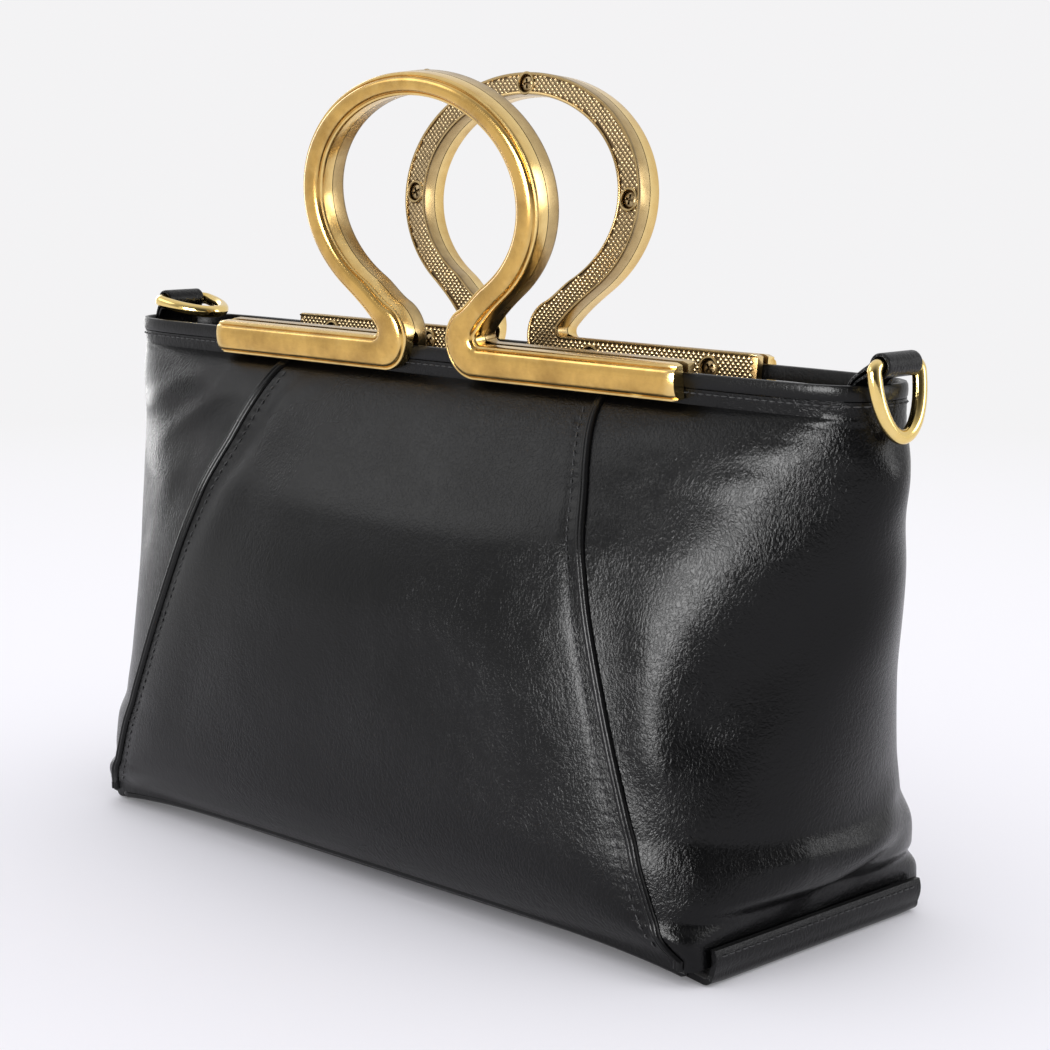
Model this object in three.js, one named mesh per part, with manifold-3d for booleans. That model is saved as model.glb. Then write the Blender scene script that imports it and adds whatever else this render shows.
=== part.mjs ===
// Ring handle bag: a black leather body whose rim is clamped between two pairs of brass handle halves.
// Millimetres, +Z up, +X along the bag, front towards -Y, origin under the middle of the base.
import * as THREE from 'three';
import { mergeVertices } from 'three/addons/utils/BufferGeometryUtils.js';
import Module from 'manifold-3d';

const wasm = await Module();
wasm.setup();

// Leather body
const BASE_LENGTH = 302;
const BASE_WIDTH = 106;
const RIM_LENGTH = 354;
const RIM_WIDTH = 40.4;
const RIM_HEIGHT = 183;
const RIM_FORWARD = 6;
const BELLY_OUT = 26;
const END_OUT = 8;
const FRONT_OVERHANG = 6;
const LEATHER = 2;
const RIM_BAND = 4.8;
const CLEARANCE = 0.3;

// Base panel and its turned-up end lips
const BASE_THICKNESS = 2;
const LIP_HEIGHT = 12;
const LIP_SPAN = 105;
const LIP_BEND = 4;
const EDGE_LIFT = 5;
const EDGE_CURL = 9;

// Seams between the front and back panels and the end gussets
const SEAM_FOOT_INSET = 11.5;
const SEAM_FOOT_SPAN = BASE_LENGTH - 2 * SEAM_FOOT_INSET;
const SEAM_TOP_SPAN = 156;
const SEAM_BOW = 1.2;
const SEAM_FLARE = 3;
const PIPING_WIDTH = 3.4;
const PIPING_HEIGHT = 1.3;
const WELT_DIAMETER = 3;

// Handle halves
const LEAN = THREE.MathUtils.degToRad(5.7);
const BAR_DROP = 3;
const BAR_HEIGHT = RIM_HEIGHT - BAR_DROP;
const BAR_WIDTH = 12;
const BAR_SPAN = 224.8;
const RING_RISE = 53.4;
const RING_LENGTH = 114.8;
const RING_HEIGHT = 85.4;
const RING_BAND_SIDE = 10.2;
const RING_BAND_TOP = 7.8;
const NECK_GAP = 19.6;
const NECK_RADIUS = 12.3;
const CROTCH_RADIUS = 2.2;
const SHELL_DEPTH = 5.5;
const PLATE_DEPTH = 4;

// Handle screws
const SCREW_RECESS = 6.4;
const SCREW_RECESS_DEPTH = 2.4;
const SCREW_HEAD = 5.7;
const SCREW_HEAD_DEPTH = 1.4;
const BAR_SCREW_INNER_SPAN = 80;
const BAR_SCREW_OUTER_SPAN = 186;

// Strap tabs and their D-rings
const TAB_WIDTH = 16.6;
const TAB_LEATHER = 1.3;
const TAB_SEWN_DEPTH = 14;
const LOOP_RISE = 6.3;
const LOOP_HEIGHT = RIM_HEIGHT + LOOP_RISE;
const D_WIRE = 4.5;
const D_SPAN = 26.7;
const D_DROP = 26.1;
const D_CORNER = 2.6;

// Mesh fineness
const ROWS = 13;
const PANEL_COLUMNS = 12;
const GUSSET_COLUMNS = 20;
const RING_STEPS = 22;
const OVAL_STEPS = 12;
const BEND_STEPS = 7;
const JOIN_STEPS = 3;

// Body sections from the foot (up 0) to where the handles pinch the wall (up 1): end and belly are shares of
// END_OUT and BELLY_OUT past a straight side; long and wide say how square the plan is
const SECTIONS = [
  { up: 0.000, end: 0.00, belly: 0.00, long: 60.0, wide: 20.0 },
  { up: 0.027, end: 0.00, belly: 0.15, long: 40.0, wide: 12.0 },
  { up: 0.063, end: 0.12, belly: 0.31, long: 16.0, wide: 5.0 },
  { up: 0.106, end: 1.05, belly: 0.46, long: 9.0, wide: 3.0 },
  { up: 0.160, end: 1.48, belly: 0.59, long: 7.0, wide: 2.3 },
  { up: 0.221, end: 1.06, belly: 0.68, long: 6.3, wide: 2.0 },
  { up: 0.312, end: 0.93, belly: 0.79, long: 5.0, wide: 2.0 },
  { up: 0.464, end: 0.92, belly: 0.92, long: 3.6, wide: 2.0 },
  { up: 0.585, end: 1.05, belly: 1.00, long: 2.8, wide: 2.0 },
  { up: 0.707, end: 1.11, belly: 0.93, long: 2.6, wide: 2.0 },
  { up: 0.828, end: 1.03, belly: 0.65, long: 2.8, wide: 2.0 },
  { up: 0.889, end: 0.85, belly: 0.48, long: 3.7, wide: 2.0 },
  { up: 0.950, end: 0.36, belly: 0.33, long: 6.0, wide: 2.4 },
  { up: 0.983, end: 0.12, belly: 0.24, long: 9.0, wide: 2.5 },
  { up: 1.000, end: 0.00, belly: 0.00, long: 16.0, wide: 2.5 },
];

// Folds of the gussets: along runs from the front seam (0) to the back seam (1), up from the foot to the
// pinch; breadth and depth are shares of the rim's height, and a negative depth is a dent
const FOLDS = [
  { side: 1, along: 0.30, up: 0.94, toAlong: 0.12, toUp: 0.45, breadth: 0.10, depth: 0.016 },
  { side: 1, along: 0.52, up: 0.78, toAlong: 0.24, toUp: 0.50, breadth: 0.07, depth: -0.016 },
  { side: -1, along: 0.30, up: 0.90, toAlong: 0.14, toUp: 0.72, breadth: 0.06, depth: 0.012 },
  { side: -1, along: 0.42, up: 0.80, toAlong: 0.22, toUp: 0.60, breadth: 0.06, depth: -0.010 },
];

// Profile of the handle's outer half: how far in from its outline, and how far out as a share of its depth
const SHELL_PROFILE = [
  { inset: 0.0, out: 0.00 },
  { inset: 0.0, out: 0.55 },
  { inset: 1.0, out: 0.70 },
  { inset: 1.7, out: 0.86 },
  { inset: 3.2, out: 1.00 },
];

// Profile of its inner half, with a narrow chamfer round the face
const PLATE_PROFILE = [
  { inset: 0.0, out: 0.00 },
  { inset: 0.0, out: 0.90 },
  { inset: 0.4, out: 1.00 },
];

// Cross-section of the seam piping: across is a share of its width, out a share of its height
const PIPING_SECTION = [
  { across: -0.50, out: 0.00 },
  { across: -0.42, out: 0.62 },
  { across: 0.00, out: 1.00 },
  { across: 0.42, out: 0.62 },
  { across: 0.50, out: 0.00 },
];

// Where each tab's loop stands and which way its D-ring lies: past is measured from the rim's end, slant from
// straight down
const TABS = [
  { name: 'left', side: -1, past: -11, middleY: -6, slant: 80 },
  { name: 'right', side: 1, past: 3, middleY: -9, slant: 8.5 },
];

// Materials
const leather = () => new THREE.MeshStandardMaterial({ color: 0x141416, roughness: 0.32, metalness: 0 });
const leatherEdge = () => new THREE.MeshStandardMaterial({ color: 0x0c0c0d, roughness: 0.45, metalness: 0 });
const brass = () => new THREE.MeshStandardMaterial({ color: 0xb8924a, roughness: 0.3, metalness: 1 });
const darkBrass = () => new THREE.MeshStandardMaterial({ color: 0x7d6542, roughness: 0.45, metalness: 1 });
const gold = () => new THREE.MeshStandardMaterial({ color: 0xd2a94c, roughness: 0.22, metalness: 1 });

// Heights worked out from the sizes above
const FOOT = EDGE_LIFT + WELT_DIAMETER + 2 * CLEARANCE;
const LIP_TOP = LIP_HEIGHT + CLEARANCE;
const HANDLE_DROP = BAR_WIDTH / 2 * Math.cos(LEAN) + (SHELL_DEPTH + LEATHER) * Math.sin(LEAN);
const PINCH = BAR_HEIGHT - HANDLE_DROP - CLEARANCE;
const BAND_FOOT = RIM_HEIGHT - RIM_BAND;

const lerp = THREE.MathUtils.lerp;
const smoothstep = THREE.MathUtils.smoothstep;

// Smooth value of one column of a table at a height, with no overshoot between rows
function column(table, name, up) {
  const last = table.length - 1;
  const at = THREE.MathUtils.clamp(up, table[0].up, table[last].up);
  let i = 0;
  while (i < last - 1 && table[i + 1].up < at) i += 1;
  const rise = (k) => (table[k + 1][name] - table[k][name]) / (table[k + 1].up - table[k].up);
  const slope = (k) => {
    if (k === 0) return rise(0);
    if (k === last) return rise(last - 1);
    const [before, after] = [rise(k - 1), rise(k)];
    return before * after <= 0 ? 0 : 2 * before * after / (before + after);
  };
  const span = table[i + 1].up - table[i].up;
  const t = (at - table[i].up) / span;
  const startPull = t * (1 - t) ** 2 * span * slope(i);
  const endPull = t ** 2 * (t - 1) * span * slope(i + 1);
  return lerp(table[i][name], table[i + 1][name], t * t * (3 - 2 * t)) + startPull + endPull;
}

// Half-width of the rim between the handle halves, which lean outwards
function clampHalfWidth(z) {
  return RIM_WIDTH / 2 + Math.tan(LEAN) * (z - BAR_HEIGHT);
}

// Plan section of the body at a height: half-lengths, squareness and middle; its ends are straight inside the lips
function section(z) {
  const up = THREE.MathUtils.clamp((z - FOOT) / (PINCH - FOOT), 0, 1);
  const lengthUp = THREE.MathUtils.clamp((z - LIP_TOP) / (PINCH - LIP_TOP), 0, 1);
  const footLength = BASE_LENGTH / 2 - BASE_THICKNESS - CLEARANCE;
  const footWidth = BASE_WIDTH / 2 + FRONT_OVERHANG;
  return {
    halfLength: lerp(footLength, RIM_LENGTH / 2, lengthUp) + END_OUT * column(SECTIONS, 'end', up),
    halfWidth: z > PINCH
      ? clampHalfWidth(z)
      : lerp(footWidth, clampHalfWidth(PINCH), up) + BELLY_OUT * column(SECTIONS, 'belly', up),
    long: column(SECTIONS, 'long', up),
    wide: column(SECTIONS, 'wide', up),
    middle: -RIM_FORWARD * z / RIM_HEIGHT,
  };
}

// Level of a point against the body's outer surface: 1 on it, less inside
function level(x, y, z) {
  const s = section(z);
  return Math.abs(x / s.halfLength) ** s.long + Math.abs((y - s.middle) / s.halfWidth) ** s.wide;
}

// Outward direction of the body's surface at a point on it
function outward(point) {
  const step = 0.2;
  const slope = (dx, dy, dz) => level(point.x + dx, point.y + dy, point.z + dz)
    - level(point.x - dx, point.y - dy, point.z - dz);
  return new THREE.Vector3(slope(step, 0, 0), slope(0, step, 0), slope(0, 0, step)).normalize();
}

// Half the distance between the seams at a height
function seamHalfSpan(z) {
  const up = THREE.MathUtils.clamp((z - FOOT) / (PINCH - FOOT), 0, 1);
  const flare = SEAM_FLARE * Math.max(0, 1 - up * PINCH / LIP_HEIGHT) ** 2;
  return lerp(SEAM_FOOT_SPAN, SEAM_TOP_SPAN, up) / 2 - SEAM_BOW * 4 * up * (1 - up) + flare;
}

// How far the base's long edges lift off the ground along their length: none at the corners
function edgeLift(x) {
  return EDGE_LIFT * (1 - Math.min(1, Math.abs(2 * x / BASE_LENGTH)) ** 5);
}

// Point of the front (face -1) or back (face 1) wall at an x
function wallPoint(x, z, face) {
  const s = section(z);
  const y = s.halfWidth * (1 - Math.abs(x / s.halfLength) ** s.long) ** (1 / s.wide);
  return new THREE.Vector3(x, s.middle + face * y, z);
}

// Point of an end wall, along from its front seam (0) round the end to its back seam (1)
function endPoint(side, along, z, seamGap = CLEARANCE / 2) {
  const s = section(z);
  const first = (seamHalfSpan(z) + seamGap) / s.halfLength;
  const quarter = 48;
  const points = [];
  for (let i = 0; i <= 2 * quarter; i += 1) {
    const q = 1 - Math.abs(i - quarter) / quarter;
    const x = Math.min(1, 1 - (1 - first) * (1 - q) ** s.wide);
    const y = Math.sign(i - quarter) * s.halfWidth * (1 - x ** s.long) ** (1 / s.wide);
    points.push(new THREE.Vector3(side * x * s.halfLength, s.middle + y, z));
  }
  const lengths = [0];
  for (let i = 1; i < points.length; i += 1) lengths.push(lengths[i - 1] + points[i].distanceTo(points[i - 1]));
  const reach = along * lengths.at(-1);
  let k = 0;
  while (k < points.length - 2 && lengths[k + 1] < reach) k += 1;
  return points[k].clone().lerp(points[k + 1], (reach - lengths[k]) / (lengths[k + 1] - lengths[k]));
}

// How far the folds push an end wall out at a place
function foldHeight(side, along, z) {
  const up = (z - FOOT) / (PINCH - FOOT);
  const endSpan = RIM_LENGTH - SEAM_TOP_SPAN;
  let height = 0;
  for (const fold of FOLDS.filter((row) => row.side === side)) {
    const start = new THREE.Vector3(fold.along * endSpan, fold.up * RIM_HEIGHT, 0);
    const end = new THREE.Vector3(fold.toAlong * endSpan, fold.toUp * RIM_HEIGHT, 0);
    const place = new THREE.Vector3(along * endSpan, up * RIM_HEIGHT, 0);
    const nearest = new THREE.Line3(start, end).closestPointToPoint(place, true, new THREE.Vector3());
    const share = place.distanceTo(nearest) / (fold.breadth * RIM_HEIGHT);
    height += fold.depth * RIM_HEIGHT * Math.exp(-share * share);
  }
  const edgeFade = smoothstep(Math.min(along, 1 - along), 0, 0.12) * smoothstep(1 - up, 0.03, 0.15);
  return height * edgeFade;
}

// Closed mesh from vertices and triangles, turned so that its faces point out
function closedMesh(vertices, triangles) {
  const volume = triangles.reduce((sum, [a, b, c]) => {
    const cross = new THREE.Vector3().crossVectors(vertices[b], vertices[c]);
    return sum + vertices[a].dot(cross);
  }, 0);
  const index = triangles.flatMap(([a, b, c]) => (volume > 0 ? [a, b, c] : [a, c, b]));
  const geometry = new THREE.BufferGeometry().setFromPoints(vertices);
  geometry.setIndex(index);
  return geometry;
}

// End cap that pairs the first half of a ring with its second half
function stripCap(ring) {
  const triangles = [];
  let [low, high] = [0, ring.length - 1];
  while (high - low > 1) {
    triangles.push([low, low + 1, high]);
    if (high - low > 2) triangles.push([low + 1, high - 1, high]);
    low += 1;
    high -= 1;
  }
  return triangles;
}

// Solid through a row of closed rings of points, capped at its ends or closed on itself; each quad is split
// along its shorter diagonal
function loft(rings, { closed = false, cap = stripCap } = {}) {
  const count = rings[0].length;
  const vertices = rings.flat();
  const triangles = [];
  const spans = closed ? rings.length : rings.length - 1;
  for (let r = 0; r < spans; r += 1) {
    for (let i = 0; i < count; i += 1) {
      const [low, next] = [r * count, ((r + 1) % rings.length) * count];
      const j = (i + 1) % count;
      const rising = vertices[low + i].distanceTo(vertices[next + j]);
      const falling = vertices[low + j].distanceTo(vertices[next + i]);
      if (rising < falling) triangles.push([low + i, low + j, next + j], [low + i, next + j, next + i]);
      else triangles.push([low + i, low + j, next + i], [low + j, next + j, next + i]);
    }
  }
  if (!closed) {
    const lid = cap(rings[0]);
    const top = (rings.length - 1) * count;
    triangles.push(...lid.map(([a, b, c]) => [a, c, b]));
    triangles.push(...lid.map(([a, b, c]) => [top + a, top + b, top + c]));
  }
  return closedMesh(vertices, triangles);
}

// Leather sheet from rows of points on its outer side and the direction out of it
function sheet(rows, direction, thickness) {
  return loft(rows.map((row) => {
    const inner = row.map((point) => point.clone().addScaledVector(direction(point), -thickness));
    return [...row, ...inner.reverse()];
  }));
}

// Heights of the wall's rows: its foot, the top of the base's lips, then closer together near both ends up to
// the pinch, and the rim band
function wallHeights(foot) {
  const heights = [foot];
  for (let i = 0; i < ROWS; i += 1) {
    heights.push(lerp(LIP_TOP, PINCH, (1 - Math.cos(Math.PI * i / (ROWS - 1))) / 2));
  }
  return [...heights, BAND_FOOT - CLEARANCE];
}

// Height of the wall's lower edge over the lifted edge of the base
function wallFoot(x) {
  return FOOT - EDGE_LIFT + edgeLift(x);
}

// Front or back panel between its two seams
function bodyPanel(face) {
  const rows = wallHeights(FOOT).map((_, j) => {
    const row = [];
    for (let i = 0; i <= PANEL_COLUMNS; i += 1) {
      const share = 2 * i / PANEL_COLUMNS - 1;
      const foot = wallFoot(share * seamHalfSpan(FOOT));
      const z = wallHeights(foot)[j];
      row.push(wallPoint(share * (seamHalfSpan(z) - CLEARANCE / 2), z, face));
    }
    return row;
  });
  return sheet(rows, outward, LEATHER);
}

// Height of a gusset's lower edge, which runs down inside the base's end lip
function gussetFoot(along) {
  const tuck = smoothstep(Math.min(along, 1 - along), 0, 0.1);
  return lerp(wallFoot(seamHalfSpan(FOOT)), BASE_THICKNESS + LIP_BEND, tuck);
}

// End gusset from the front seam round the end to the back seam
function gusset(side) {
  const directions = new Map();
  const rows = wallHeights(FOOT).map((_, j, all) => {
    const row = [];
    for (let i = 0; i <= GUSSET_COLUMNS; i += 1) {
      const along = i / GUSSET_COLUMNS;
      const z = j < all.length - 1 ? wallHeights(gussetFoot(along))[j] : all[j];
      const flat = endPoint(side, along, z);
      const direction = outward(flat);
      const point = flat.addScaledVector(direction, foldHeight(side, along, z));
      directions.set(point, direction);
      row.push(point);
    }
    return row;
  });
  return sheet(rows, (point) => directions.get(point), LEATHER);
}

// Folded band round the whole rim
function rimBand() {
  const around = [];
  const ringAt = (z) => {
    const seam = seamHalfSpan(z);
    const walls = [];
    for (let i = 0; i < PANEL_COLUMNS; i += 1) walls.push(lerp(-seam, seam, i / PANEL_COLUMNS));
    const ends = [];
    for (let i = 0; i < GUSSET_COLUMNS; i += 1) ends.push(i / GUSSET_COLUMNS);
    return [
      ...walls.map((x) => wallPoint(x, z, -1)),
      ...ends.map((along) => endPoint(1, along, z, 0)),
      ...walls.map((x) => wallPoint(-x, z, 1)),
      ...ends.map((along) => endPoint(-1, 1 - along, z, 0)),
    ];
  };
  const [low, high] = [BAND_FOOT, RIM_HEIGHT].map(ringAt);
  low.forEach((foot, i) => {
    const inward = outward(foot).negate();
    around.push([
      foot,
      high[i],
      high[i].clone().addScaledVector(inward, LEATHER),
      foot.clone().addScaledVector(inward, LEATHER),
    ]);
  });
  return loft(around, { closed: true });
}

// Base panel: a flat bottom whose long edges curl up and whose ends turn up as lips
function basePanel() {
  const half = BASE_LENGTH / 2;
  const bends = [0, 0.5, 1].map((share) => share * Math.PI / 2);
  const endPath = [
    ...bends.map((angle) => [half - LIP_BEND + LIP_BEND * Math.sin(angle), LIP_BEND * (1 - Math.cos(angle))]),
    [half, LIP_HEIGHT],
  ];
  const path = [
    ...endPath.map(([x, z]) => ({ x: -x, z })).reverse(),
    ...[-0.9, -0.75, -0.4, 0, 0.4, 0.75, 0.9].map((share) => ({ x: share * half, z: 0 })),
    ...endPath.map(([x, z]) => ({ x, z })),
  ];
  const acrossShares = [-1, -0.92, -0.84, -0.5, 0, 0.5, 0.84, 0.92, 1];
  const rows = path.map(({ x, z }) => acrossShares.map((share) => {
    const y = share * lerp(BASE_WIDTH, LIP_SPAN, Math.min(1, z / LIP_BEND)) / 2;
    const curl = smoothstep(Math.abs(y), BASE_WIDTH / 2 - EDGE_CURL, BASE_WIDTH / 2);
    return new THREE.Vector3(x, y, z + curl * edgeLift(x));
  }));
  const direction = (point) => {
    const bend = THREE.MathUtils.clamp((Math.abs(point.x) - (half - LIP_BEND)) / LIP_BEND, 0, 1);
    const angle = Math.asin(bend);
    return new THREE.Vector3(Math.sign(point.x) * Math.sin(angle), 0, -Math.cos(angle));
  };
  return sheet(rows, direction, BASE_THICKNESS);
}

// Raised piping that lies on a seam
function seamPiping(side, face) {
  const rings = wallHeights(wallFoot(seamHalfSpan(FOOT))).slice(1, -2).map((z) => PIPING_SECTION.map((row) => {
    const under = wallPoint(side * seamHalfSpan(z) + row.across * PIPING_WIDTH, z, face);
    return under.addScaledVector(outward(under), CLEARANCE + row.out * PIPING_HEIGHT);
  }));
  return loft(rings);
}

// Round welt along the bottom of the front or back panel, on the base's lifted edge
function baseWelt(face) {
  const steps = 12;
  const sides = 6;
  const radius = WELT_DIAMETER / 2;
  const y = face * (BASE_WIDTH / 2 + CLEARANCE + radius);
  const rings = [];
  for (let i = 0; i <= steps; i += 1) {
    const x = lerp(-SEAM_FOOT_SPAN, SEAM_FOOT_SPAN, i / steps) / 2;
    const z = edgeLift(x) + CLEARANCE + radius;
    const ring = [];
    for (let k = 0; k < sides; k += 1) {
      const angle = 2 * Math.PI * k / sides;
      ring.push(new THREE.Vector3(x, y + radius * Math.cos(angle), z + radius * Math.sin(angle)));
    }
    rings.push(ring);
  }
  return loft(rings);
}

// Outline of a handle in its own plane: an oval ring open at the bottom whose ends turn out into two bars
function handleOutline() {
  const [outerA, outerB] = [RING_LENGTH / 2, RING_HEIGHT / 2];
  const [innerA, innerB] = [outerA - RING_BAND_SIDE, outerB - RING_BAND_TOP];
  const neckX = NECK_GAP / 2 + NECK_RADIUS;
  const neckZ = NECK_RADIUS - BAR_WIDTH / 2;
  const crotchX = neckX + CROTCH_RADIUS * 2;
  const crotchZ = BAR_WIDTH / 2 + CROTCH_RADIUS;
  const degrees = THREE.MathUtils.degToRad;
  const [innerJoin, outerJoin] = [degrees(-53), degrees(-46)];
  const [neckJoin, crotchJoin] = [degrees(115), degrees(140)];
  const onEllipse = (a, b, angle) => new THREE.Vector2(a * Math.cos(angle), RING_RISE + b * Math.sin(angle));
  const alongEllipse = (a, b, angle) => new THREE.Vector2(-a * Math.sin(angle), b * Math.cos(angle)).normalize();
  const onCircle = (x, z, radius, angle) => new THREE.Vector2(x + radius * Math.cos(angle), z + radius * Math.sin(angle));
  const alongCircle = (angle) => new THREE.Vector2(-Math.sin(angle), Math.cos(angle));

  const half = new THREE.Path();
  half.absellipse(0, RING_RISE, innerA, innerB, Math.PI / 2, innerJoin, true);
  const neckTop = onCircle(neckX, neckZ, NECK_RADIUS, neckJoin);
  const innerEnd = onEllipse(innerA, innerB, innerJoin);
  const neckPull = innerEnd.distanceTo(neckTop) / 3;
  const leaveRing = innerEnd.clone().addScaledVector(alongEllipse(innerA, innerB, innerJoin), -neckPull);
  const reachNeck = neckTop.clone().addScaledVector(alongCircle(neckJoin), -neckPull);
  half.bezierCurveTo(...leaveRing.toArray(), ...reachNeck.toArray(), ...neckTop.toArray());
  half.absarc(neckX, neckZ, NECK_RADIUS, neckJoin, 1.5 * Math.PI, false);
  half.lineTo(BAR_SPAN / 2, -BAR_WIDTH / 2);
  half.lineTo(BAR_SPAN / 2, BAR_WIDTH / 2);
  half.lineTo(crotchX, BAR_WIDTH / 2);
  half.absarc(crotchX, crotchZ, CROTCH_RADIUS, 1.5 * Math.PI, crotchJoin, true);
  const crotchTop = onCircle(crotchX, crotchZ, CROTCH_RADIUS, crotchJoin);
  const outerEnd = onEllipse(outerA, outerB, outerJoin);
  const crotchPull = outerEnd.distanceTo(crotchTop) / 3;
  const leaveCrotch = crotchTop.clone().addScaledVector(alongCircle(crotchJoin), -crotchPull);
  const reachRing = outerEnd.clone().addScaledVector(alongEllipse(outerA, outerB, outerJoin), -crotchPull);
  half.bezierCurveTo(...leaveCrotch.toArray(), ...reachRing.toArray(), ...outerEnd.toArray());
  half.absellipse(0, RING_RISE, outerA, outerB, outerJoin, Math.PI / 2, false);

  const steps = [OVAL_STEPS, JOIN_STEPS, BEND_STEPS, 1, 1, 1, JOIN_STEPS, JOIN_STEPS, OVAL_STEPS];
  const curves = half.curves.filter((curve) => curve.getLength() > CLEARANCE / 2);
  const points = curves.flatMap((curve, i) => curve.getPoints(steps[i]).slice(i ? 1 : 0));
  const mirrored = points.slice(1, -1).reverse().map((point) => new THREE.Vector2(-point.x, point.y));
  return [...points, ...mirrored];
}

// Outline moved inwards by a distance, corner by corner
function insetOutline(outline, inset) {
  const sign = THREE.ShapeUtils.isClockWise(outline) ? -1 : 1;
  return outline.map((point, i) => {
    const before = outline[(i + outline.length - 1) % outline.length];
    const after = outline[(i + 1) % outline.length];
    const into = point.clone().sub(before).normalize();
    const away = after.clone().sub(point).normalize();
    const turn = new THREE.Vector2(-(into.y + away.y), into.x + away.x).normalize().multiplyScalar(sign);
    const lean = Math.abs(turn.x * -into.y + turn.y * into.x);
    return point.clone().addScaledVector(turn, inset / lean);
  });
}

// Solid of stacked outlines: each level has its inset and its height
function stackedOutline(outline, levels) {
  const rings = levels.map(({ inset, height }) => insetOutline(outline, inset)
    .map((point) => new THREE.Vector3(point.x, point.y, height)));
  return loft(rings, { cap: () => THREE.ShapeUtils.triangulateShape(outline, []) });
}

// Solid for cutting and joining
function solid(geometry) {
  const bare = geometry.clone();
  bare.deleteAttribute('normal');
  bare.deleteAttribute('uv');
  const merged = mergeVertices(bare);
  return new wasm.Manifold(new wasm.Mesh({
    numProp: 3,
    vertProperties: new Float32Array(merged.attributes.position.array),
    triVerts: new Uint32Array(merged.index.array),
  }));
}

// Geometry of a cut or joined solid
function geometryOf(manifold) {
  const mesh = manifold.getMesh();
  const geometry = new THREE.BufferGeometry();
  geometry.setAttribute('position', new THREE.BufferAttribute(new Float32Array(mesh.vertProperties), 3));
  geometry.setIndex(new THREE.BufferAttribute(new Uint32Array(mesh.triVerts), 1));
  return geometry;
}

// One half of a handle: out is 1 for the outer shell and -1 for the inner plate
function handleHalf(profile, depth, out) {
  const outline = handleOutline();
  const seat = LEATHER / 2 + CLEARANCE;
  const levels = profile.map((row) => ({ inset: row.inset, height: out * (seat + row.out * depth) }));
  const joint = CLEARANCE / 2;
  const backing = [joint, seat + CLEARANCE].map((height) => ({ inset: 0, height: out * height }));
  const bars = new THREE.BoxGeometry(2 * BAR_SPAN, 2 * BAR_WIDTH, 4 * seat);
  bars.translate(0, CLEARANCE - BAR_WIDTH / 2, 0);
  const ringBacking = solid(stackedOutline(outline, backing)).subtract(solid(bars));
  return solid(stackedOutline(outline, levels)).add(ringBacking);
}

// Places of the screws in the handle's own plane
function screwPlaces() {
  const sideX = (RING_LENGTH - RING_BAND_SIDE) / 2;
  const topZ = RING_RISE + (RING_HEIGHT - RING_BAND_TOP) / 2;
  return [
    { x: -BAR_SCREW_OUTER_SPAN / 2, z: 0 },
    { x: -BAR_SCREW_INNER_SPAN / 2, z: 0 },
    { x: -sideX, z: RING_RISE },
    { x: 0, z: topZ },
    { x: sideX, z: RING_RISE },
    { x: BAR_SCREW_INNER_SPAN / 2, z: 0 },
    { x: BAR_SCREW_OUTER_SPAN / 2, z: 0 },
  ];
}

// Round pin across the handle's plane, from one depth to another
function crossPin(diameter, from, to, place, sides) {
  const pin = new THREE.CylinderGeometry(diameter / 2, diameter / 2, Math.abs(to - from), sides);
  pin.rotateX(Math.PI / 2);
  pin.translate(place.x, place.z, (from + to) / 2);
  return pin;
}

// Inner half with its screw recesses
function plateGeometry() {
  const face = -(LEATHER / 2 + CLEARANCE + PLATE_DEPTH);
  return geometryOf(screwPlaces().reduce((plate, place) => {
    const recess = crossPin(SCREW_RECESS, face - 1, face + SCREW_RECESS_DEPTH, place, 12);
    return plate.subtract(solid(recess));
  }, handleHalf(PLATE_PROFILE, PLATE_DEPTH, -1)));
}

// Screw head at the bottom of its recess
function screwGeometry(place) {
  const floor = -(LEATHER / 2 + CLEARANCE + PLATE_DEPTH) + SCREW_RECESS_DEPTH - CLEARANCE;
  return crossPin(SCREW_HEAD, floor - SCREW_HEAD_DEPTH, floor, place, 8);
}

// Named mesh of a geometry
function part(name, geometry, material) {
  const mesh = new THREE.Mesh(geometry, material);
  mesh.name = name;
  return mesh;
}

// A whole handle: the front one as modelled, the rear one turned about the middle of the rim
function handle(name, turn) {
  const leaning = new THREE.Group();
  const middle = -RIM_FORWARD * BAR_HEIGHT / RIM_HEIGHT;
  leaning.position.set(0, -(RIM_WIDTH - LEATHER) / 2, BAR_HEIGHT);
  leaning.rotation.x = Math.PI / 2 + LEAN;
  leaning.add(part(`handle_${name}_shell`, geometryOf(handleHalf(SHELL_PROFILE, SHELL_DEPTH, 1)), brass()));
  leaning.add(part(`handle_${name}_plate`, plateGeometry(), darkBrass()));
  screwPlaces().forEach((place, i) => {
    leaning.add(part(`screw_${name}_${i + 1}`, screwGeometry(place), darkBrass()));
  });
  const turned = new THREE.Group();
  turned.position.y = middle;
  turned.rotation.z = turn;
  turned.add(leaning);
  return turned;
}

// Place along X of a tab's loop, measured from the rim's end
function loopX({ side, past }) {
  return side * (RIM_LENGTH / 2 + past);
}

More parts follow.
